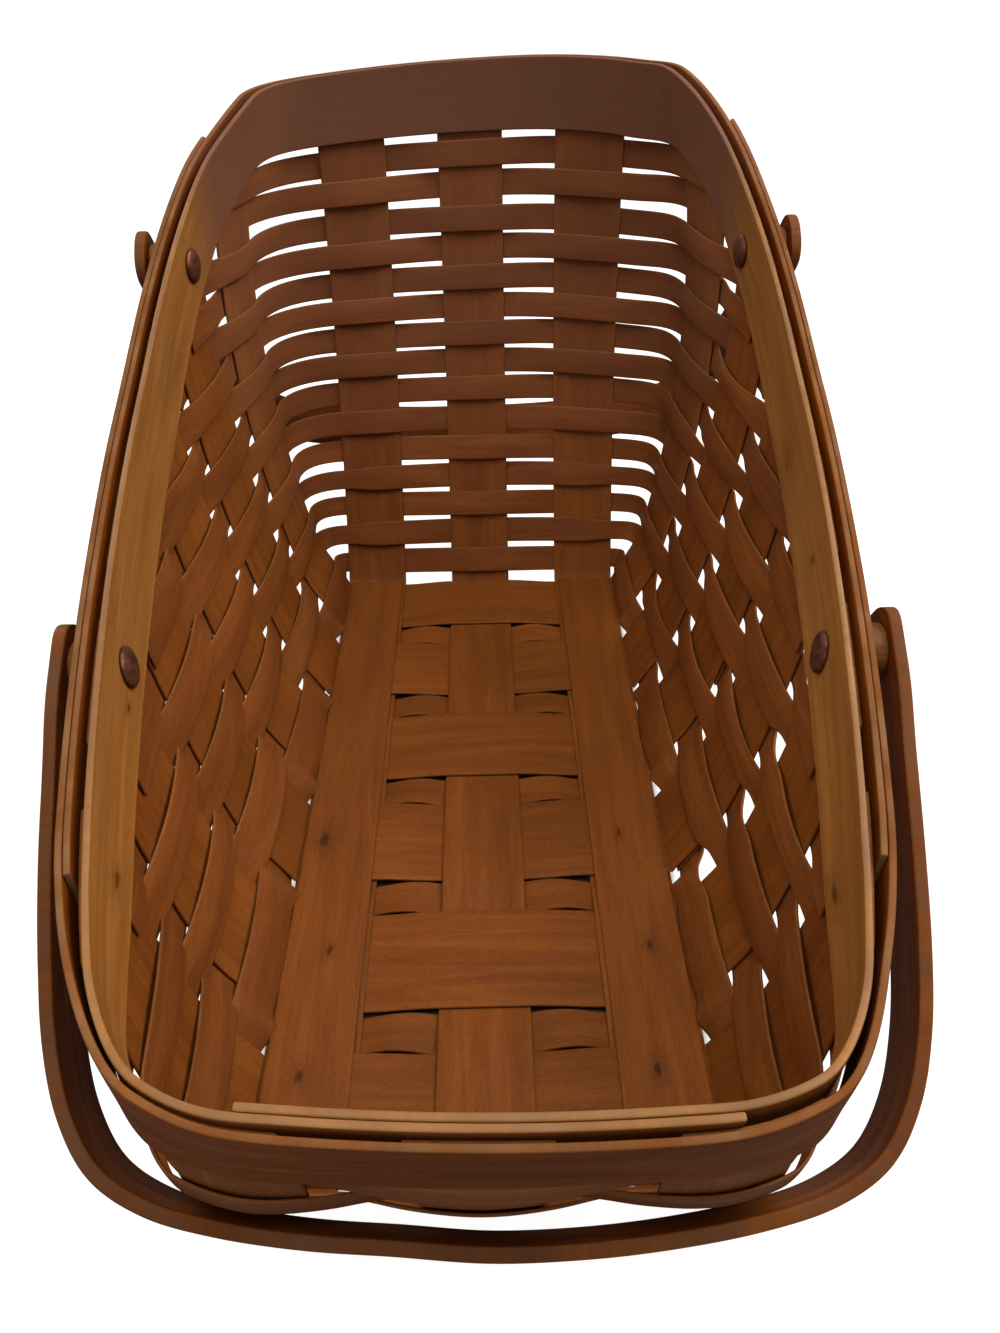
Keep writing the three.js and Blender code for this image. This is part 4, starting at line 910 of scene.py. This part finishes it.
def handle_rows(p):
    """The handle's middle surface, hanging along its own minus Y from the hinge line."""
    half = ear_middle(p) - p["spread"]
    right = [Vector((half + p["spread"], EAR_REACH, 0))]
    for x, r in BOW_SHAPE:
        reach = r * HANDLE_REACH
        out = p["spread"] * (1 - ease((reach - SPREAD_FROM) / SPREAD_REACH))
        right.append(Vector((x * half + out, -reach, 0)))
    left = []
    for at in reversed(right):
        bump = max(0.0, 1 - ((-at.y - LEFT_ROUNDING_AT) / LEFT_ROUNDING_OVER) ** 2)
        shrink = 1 - p["rounding"] * bump
        left.append(Vector((-at.x * shrink, at.y * shrink, 0)))
    path = smooth_path([*right, Vector((0, -HANDLE_REACH, 0)), *left])
    lengths = [0.0]
    for a, b in zip(path, path[1:]):
        lengths.append(lengths[-1] + (b - a).length)
    whole = lengths[-1]
    taper = len(EAR_TAPER) - 1
    ends = [EAR_TAPER_LENGTH * (k / taper) ** EAR_TAPER_POWER for k in range(taper)]
    stops = ends + list(np.linspace(EAR_TAPER_LENGTH, whole - EAR_TAPER_LENGTH, HANDLE_STEPS))
    stops += [whole - e for e in reversed(ends)]
    xs, ys = (np.interp(stops, lengths, [q[k] for q in path]) for k in (0, 1))
    rows = []
    for n, (x, y) in enumerate(zip(xs, ys)):
        from_end = min(n, len(stops) - 1 - n)
        wide = HANDLE_WIDTH / 2 * (EAR_TAPER[from_end] if from_end < taper else 1.0)
        rows.append([Vector((x, y, v * wide)) for v in across(HANDLE_WIDTH)])
    return rows


for end_name, p in PIVOTS.items():
    p["z"] = rim_height(p["y"]) - p["drop"]
    turn = (Matrix.Translation((p["x"], p["y"], p["z"])) @ Matrix.Rotation(p["yaw"], 4, "Z")
            @ Matrix.Rotation(p["hang"], 4, "X"))
    rows = [[turn @ q for q in row] for row in handle_rows(p)]
    node = f"{end_name}_handle"
    make_splint(f"handle_bow_{end_name}", rows, HANDLE_WIDTH, HANDLE_THICKNESS, handle_wood, node,
                body=node, rounding=2, ripple=HANDLE_RIPPLE)

# Spacers and rivets: at each of the four handle ears a turned wooden washer keeps the handle
# off the rim, and a brass rivet, gone brown, passes through the ear, washer and bands. Its domed
# head lies inside the basket, and its smaller button outside the ear.
SHANK_RADIUS = 2.0
HEAD_RADIUS, HEAD_HEIGHT, HEAD_EDGE = 5.2, 1.7, 0.4
BUTTON_RADIUS, BUTTON_HEIGHT = 3.6, 1.8
SPACER_RADIUS, SPACER_ROUND, SPACER_SLOPE = 7.0, 0.5, 0.3
SEAT_GAP = 0.36
PLANE_STEP = 1.0
WELD_REACH = 1e-6
ROUND_SIDES = 48
DOME_STEPS = 10
TARNISH_SCALE, PIT_SCALE, PIT_DEPTH = 420.0, 2600.0, 0.0002
spacer_wood = stained_wood("stained_spacer", (0.120, 0.042, 0.0110), (0.170, 0.064, 0.0180),
                           (0.230, 0.094, 0.0290), gloss=0.5, wear=0.4)


def old_brass(name):
    """Brass gone brown: warm dark metal with worn bright spots and fine pits."""
    material, tree = empty_material(name)
    step = node_adder(tree, "ShaderNode")
    place = add_node(tree, "ShaderNodeTexCoord").outputs["Object"]
    coarse = step("TexNoise", {"Vector": place, "Scale": TARNISH_SCALE, "Detail": 4.0})
    fine = step("TexNoise", {"Vector": place, "Scale": PIT_SCALE, "Detail": 2.0})
    ramp = add_node(tree, "ShaderNodeValToRGB", {"Fac": coarse})
    stops = ramp.color_ramp.elements
    stops[0].position, stops[0].color = 0.35, (0.080, 0.028, 0.016, 1)
    stops[1].position, stops[1].color = 0.68, (0.230, 0.088, 0.048, 1)
    rough = step("MapRange", {"Value": coarse, "From Min": 0.3, "From Max": 0.7, "To Min": 0.66,
                              "To Max": 0.48})
    bump = step("Bump", {"Height": fine, "Strength": 0.25, "Distance": PIT_DEPTH})
    surface = step("BsdfPrincipled", {"Base Color": ramp.outputs[0], "Roughness": rough,
                                      "Metallic": 0.75, "Normal": bump})
    add_node(tree, "ShaderNodeOutputMaterial", {"Surface": surface})
    return material


def band_plane(p, side, offset):
    """Plane of a rim band's face near a rivet, seen from the hinge line."""
    def at(along, up):
        y = p["y"] + side * math.sin(p["yaw"]) * side_reach(side, p["y"], p["z"]) + along
        return side_reach(side, y, p["z"] + up) + offset
    slope = (at(PLANE_STEP, 0) - at(-PLANE_STEP, 0)) / (2 * PLANE_STEP)
    lean = (at(0, PLANE_STEP) - at(0, -PLANE_STEP)) / (2 * PLANE_STEP)
    return at(0, 0) - side * p["x"], lean, slope + side * math.tan(p["yaw"])


def turned_piece(profile, place):
    """Points and faces of a turned piece: the profile gives radius and place along its axis."""
    points, faces = [], []
    for k in range(ROUND_SIDES):
        a = 2 * math.pi * k / ROUND_SIDES
        points += [place(along, r * math.cos(a), r * math.sin(a)) for r, along in profile]
    n = len(profile)
    for k in range(ROUND_SIDES):
        for j in range(n - 1):
            a, b = k * n + j, ((k + 1) % ROUND_SIDES) * n + j
            faces.append((a, b, b + 1, a + 1))
    return points, faces


def dome(radius, height, base, direction):
    """Profile of a domed head, from its edge to its crown."""
    profile = []
    for k in range(DOME_STEPS + 1):
        angle = math.pi / 2 * k / DOME_STEPS
        rise = HEAD_EDGE + (height - HEAD_EDGE) * math.sin(angle)
        profile.append((radius * math.cos(angle), base + direction * rise))
    return profile


def make_turned(name, parts, finish, nodes):
    """Joins the turned pieces of one kind into one mesh for the basket's body."""
    points, faces = [], []
    for part_points, part_faces in parts:
        faces += [tuple(v + len(points) for v in face) for face in part_faces]
        points += part_points
    mesh = bpy.data.meshes.new(name)
    mesh.from_pydata([Vector(q) * MM + BENCH for q in points], [], faces)
    grain = np.array([(q.x, q.z, len(name)) for q in (v.co for v in mesh.vertices)], np.float32)
    mesh.attributes.new("grain", "FLOAT_VECTOR", "POINT").data.foreach_set("vector", grain.ravel())
    piece = bpy.data.objects.new(name, mesh)
    bpy.context.scene.collection.objects.link(piece)
    weld = piece.modifiers.new("weld", "WELD")
    weld.merge_threshold = WELD_REACH
    made = plain_mesh(piece)
    made.materials.clear()
    made.materials.append(finish)
    for polygon in made.polygons:
        polygon.use_smooth = True
    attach(piece, "basket")
    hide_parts(*nodes)


rivet_parts, spacer_parts, rivet_nodes, spacer_nodes = [], [], [], []
for end_name, p in PIVOTS.items():
    ear_inner = ear_middle(p) - HANDLE_THICKNESS / 2
    ear_outer = ear_inner + HANDLE_THICKNESS + CLEARANCE
    hinge = Matrix.Translation((p["x"], p["y"], p["z"])) @ Matrix.Rotation(p["yaw"], 4, "Z")
    for side, side_name in ((-1, "left"), (1, "right")):
        outer = band_plane(p, side, CHANNEL_WIDE + BAND_THICKNESS + BAND_LAP)
        inner = band_plane(p, side, -CHANNEL_WIDE - BAND_THICKNESS)

        def on_plane(plane, base, limit):
            """Seats the near end of a turned piece on a band's leaning face."""
            def place(along, y, z):
                if along < limit:
                    along += plane[0] - base + plane[1] * z + plane[2] * y
                return hinge @ Vector((side * along, y, z))
            return place

        length = ear_inner - CLEARANCE - outer[0]
        r, e = SPACER_RADIUS, SPACER_ROUND
        c = SPACER_SLOPE * e
        profile = [(SHANK_RADIUS, 0), (r - e, 0), (r - c, c), (r, e), (r, length - e),
                   (r - c, length - c), (r - e, length), (SHANK_RADIUS, length)]

        def spacer_place(along, y, z):
            """Stretches a spacer from the band's leaning face to the ear."""
            share = min(1.0, max(0.0, along / length))
            face = outer[0] + SEAT_GAP + outer[1] * z + outer[2] * y
            return hinge @ Vector((side * mix(face, ear_inner - CLEARANCE, share), y, z))

        spacer_parts.append(turned_piece(profile, spacer_place))
        spacer_nodes.append(f"{end_name}_{side_name}_spacer")
        face = inner[0] - SEAT_GAP
        head = dome(HEAD_RADIUS, HEAD_HEIGHT, face, -1)[::-1] + [(HEAD_RADIUS, face), (SHANK_RADIUS, face)]
        button = [(SHANK_RADIUS, ear_outer), (BUTTON_RADIUS, ear_outer)]
        profile = head + button + dome(BUTTON_RADIUS, BUTTON_HEIGHT, ear_outer, 1)
        rivet_parts.append(turned_piece(profile, on_plane(inner, inner[0], face + STOP_GAP)))
        rivet_nodes.append(f"{end_name}_{side_name}_rivet")

make_turned("ear_spacers", spacer_parts, spacer_wood, spacer_nodes)
make_turned("domed_rivets", rivet_parts, old_brass("browned_brass"), rivet_nodes)

# Studio: a pale floor with a painted shadow under the basket, a soft sky and broad lamps. The camera stands
# in front of the low end, a little above the high back, and looks down into the basket.
FLOOR_REACH, FLOOR_LEVEL = 6.0, -0.0002
FLOOR_CORNERS = ((-1, -1), (1, -1), (1, 1), (-1, 1))
PAPER_GLOW, PAPER_SCALE = 0.93, 3.0
SHADOW_PATCH_UNDER_BASKET = {"X": 0.0592, "Y": 0.1360}
SHADE_FADE, SHADE_SHARE = 0.002, 0.12
SKY_TOP, SKY_LOW, SKY_HIGH = 0.9, 0.05, 0.5
SKY_COLOUR, WHITE = (1.0, 0.97, 0.93, 1), (1, 1, 1, 1)

floor_mesh = bpy.data.meshes.new("studio_floor")
floor_mesh.from_pydata([(x * FLOOR_REACH, y * FLOOR_REACH, FLOOR_LEVEL) for x, y in FLOOR_CORNERS],
                       [], [(0, 1, 2, 3)])
studio_floor = bpy.data.objects.new("studio_floor", floor_mesh)
bpy.context.scene.collection.objects.link(studio_floor)
paper, paper_tree = empty_material("studio_paper")
on_paper = node_adder(paper_tree, "ShaderNode")
seen = add_node(paper_tree, "ShaderNodeLightPath").outputs["Is Camera Ray"]
ground = add_node(paper_tree, "ShaderNodeTexCoord").outputs["Object"]
mottle = on_paper("TexNoise", {"Vector": ground, "Scale": PAPER_SCALE})
tint = on_paper("MapRange", {"Value": mottle, "To Min": 0.26, "To Max": 0.3})
from_middle = on_paper("VectorMath", {0: ground, 1: BENCH}, operation="SUBTRACT")
from_middle = on_paper("VectorMath", {0: from_middle}, operation="ABSOLUTE")
ways = add_node(paper_tree, "ShaderNodeSeparateXYZ", {0: from_middle}).outputs
# Painted shadow: inside the basket's footprint the floor loses its glow and its grey falls to a small
# share, a dark patch for the basket's shadow.
outside_shadow_patch = 0.0
for axis, edge in SHADOW_PATCH_UNDER_BASKET.items():
    beyond = on_paper("MapRange", {"Value": ways[axis], "From Min": edge - SHADE_FADE,
                                   "From Max": edge + SHADE_FADE})
    outside_shadow_patch = on_paper("Math", {0: outside_shadow_patch, 1: beyond}, operation="MAXIMUM")
power = on_paper("Math", {0: outside_shadow_patch, 1: PAPER_GLOW}, operation="MULTIPLY")
share = on_paper("MapRange", {"Value": outside_shadow_patch, "To Min": SHADE_SHARE})
tint = on_paper("Math", {0: tint, 1: share}, operation="MULTIPLY")
grey = on_paper("CombineColor", {0: tint, 1: tint, 2: tint})
matt = on_paper("BsdfDiffuse", {"Color": grey})
glow = on_paper("Emission", {"Color": WHITE, "Strength": power})
lit = on_paper("AddShader", {0: matt, 1: glow})
shown = on_paper("MixShader", {0: seen, 1: matt, 2: lit})
add_node(paper_tree, "ShaderNodeOutputMaterial", {"Surface": shown})
floor_mesh.materials.append(paper)

world = bpy.data.worlds.new("studio")
bpy.context.scene.world = world
world.use_nodes = True
sky_tree = world.node_tree
sky_tree.nodes.clear()
in_sky = node_adder(sky_tree, "ShaderNode")
seen = add_node(sky_tree, "ShaderNodeLightPath").outputs["Is Camera Ray"]
heading = add_node(sky_tree, "ShaderNodeTexCoord").outputs["Generated"]
upward = add_node(sky_tree, "ShaderNodeSeparateXYZ", {0: heading}).outputs["Z"]
overhead = in_sky("MapRange", {"Value": upward, "From Min": 0.0, "From Max": SKY_TOP,
                               "To Min": SKY_LOW, "To Max": SKY_HIGH})
sky = in_sky("Background", {"Color": SKY_COLOUR, "Strength": overhead})
white = in_sky("Background", {"Color": WHITE, "Strength": 1.0})
both = in_sky("MixShader", {0: seen, 1: sky, 2: white})
add_node(sky_tree, "ShaderNodeOutputWorld", {"Surface": both})


def softbox(name, place, target, size, power, colour):
    """A square lamp at a place, turned to its target."""
    lamp = bpy.data.lights.new(name, "AREA")
    lamp.size = size
    lamp.energy = power
    lamp.color = colour
    holder = bpy.data.objects.new(name, lamp)
    bpy.context.scene.collection.objects.link(holder)
    holder.location = place
    holder.rotation_euler = (Vector(target) - Vector(place)).to_track_quat("-Z", "Y").to_euler()


softbox("window_right", (0.85, 0.15, 0.95), (0, 0, 0.06), 0.7, 13.0, (1.0, 0.96, 0.9))
softbox("window_above", (0.0, -0.3, 1.2), (0, 0.05, 0.05), 0.8, 7.6, (1.0, 0.98, 0.95))
softbox("window_front", (-0.5, -0.9, 0.6), (0.05, -0.15, 0.02), 0.4, 1.2, (1.0, 0.96, 0.9))
softbox("window_left", (-0.8, 0.55, 0.8), (0, 0, 0.06), 0.5, 4.0, (1.0, 0.98, 0.95))

FOCAL_PIXELS, FRAME_WIDTH = 1040.0, 1000.0
SENSOR = 36.0
PITCH, YAW, ROLL = 0.63175596, 0.01169218, -0.0148028
CAMERA_PLACE = Vector((3.576, -263.563, 247.317))
forward = Vector((math.sin(YAW) * math.cos(PITCH), math.cos(YAW) * math.cos(PITCH),
                  -math.sin(PITCH)))
right = Vector((math.cos(YAW), -math.sin(YAW), 0))
up = right.cross(forward)
across_frame = right * math.cos(ROLL) + up * math.sin(ROLL)
up_frame = up * math.cos(ROLL) - right * math.sin(ROLL)
camera_data = bpy.data.cameras.new("photo_camera")
camera_data.sensor_fit = "HORIZONTAL"
camera_data.sensor_width = SENSOR
camera_data.lens = SENSOR * FOCAL_PIXELS / FRAME_WIDTH
camera_data.clip_start = 0.01
camera = bpy.data.objects.new("photo_camera", camera_data)
bpy.context.scene.collection.objects.link(camera)
spin = Matrix((across_frame, up_frame, -forward)).transposed().to_4x4()
camera.matrix_world = Matrix.Translation(CAMERA_PLACE * MM + BENCH) @ spin
bpy.context.scene.camera = camera
bpy.context.scene.view_settings.view_transform = "Standard"
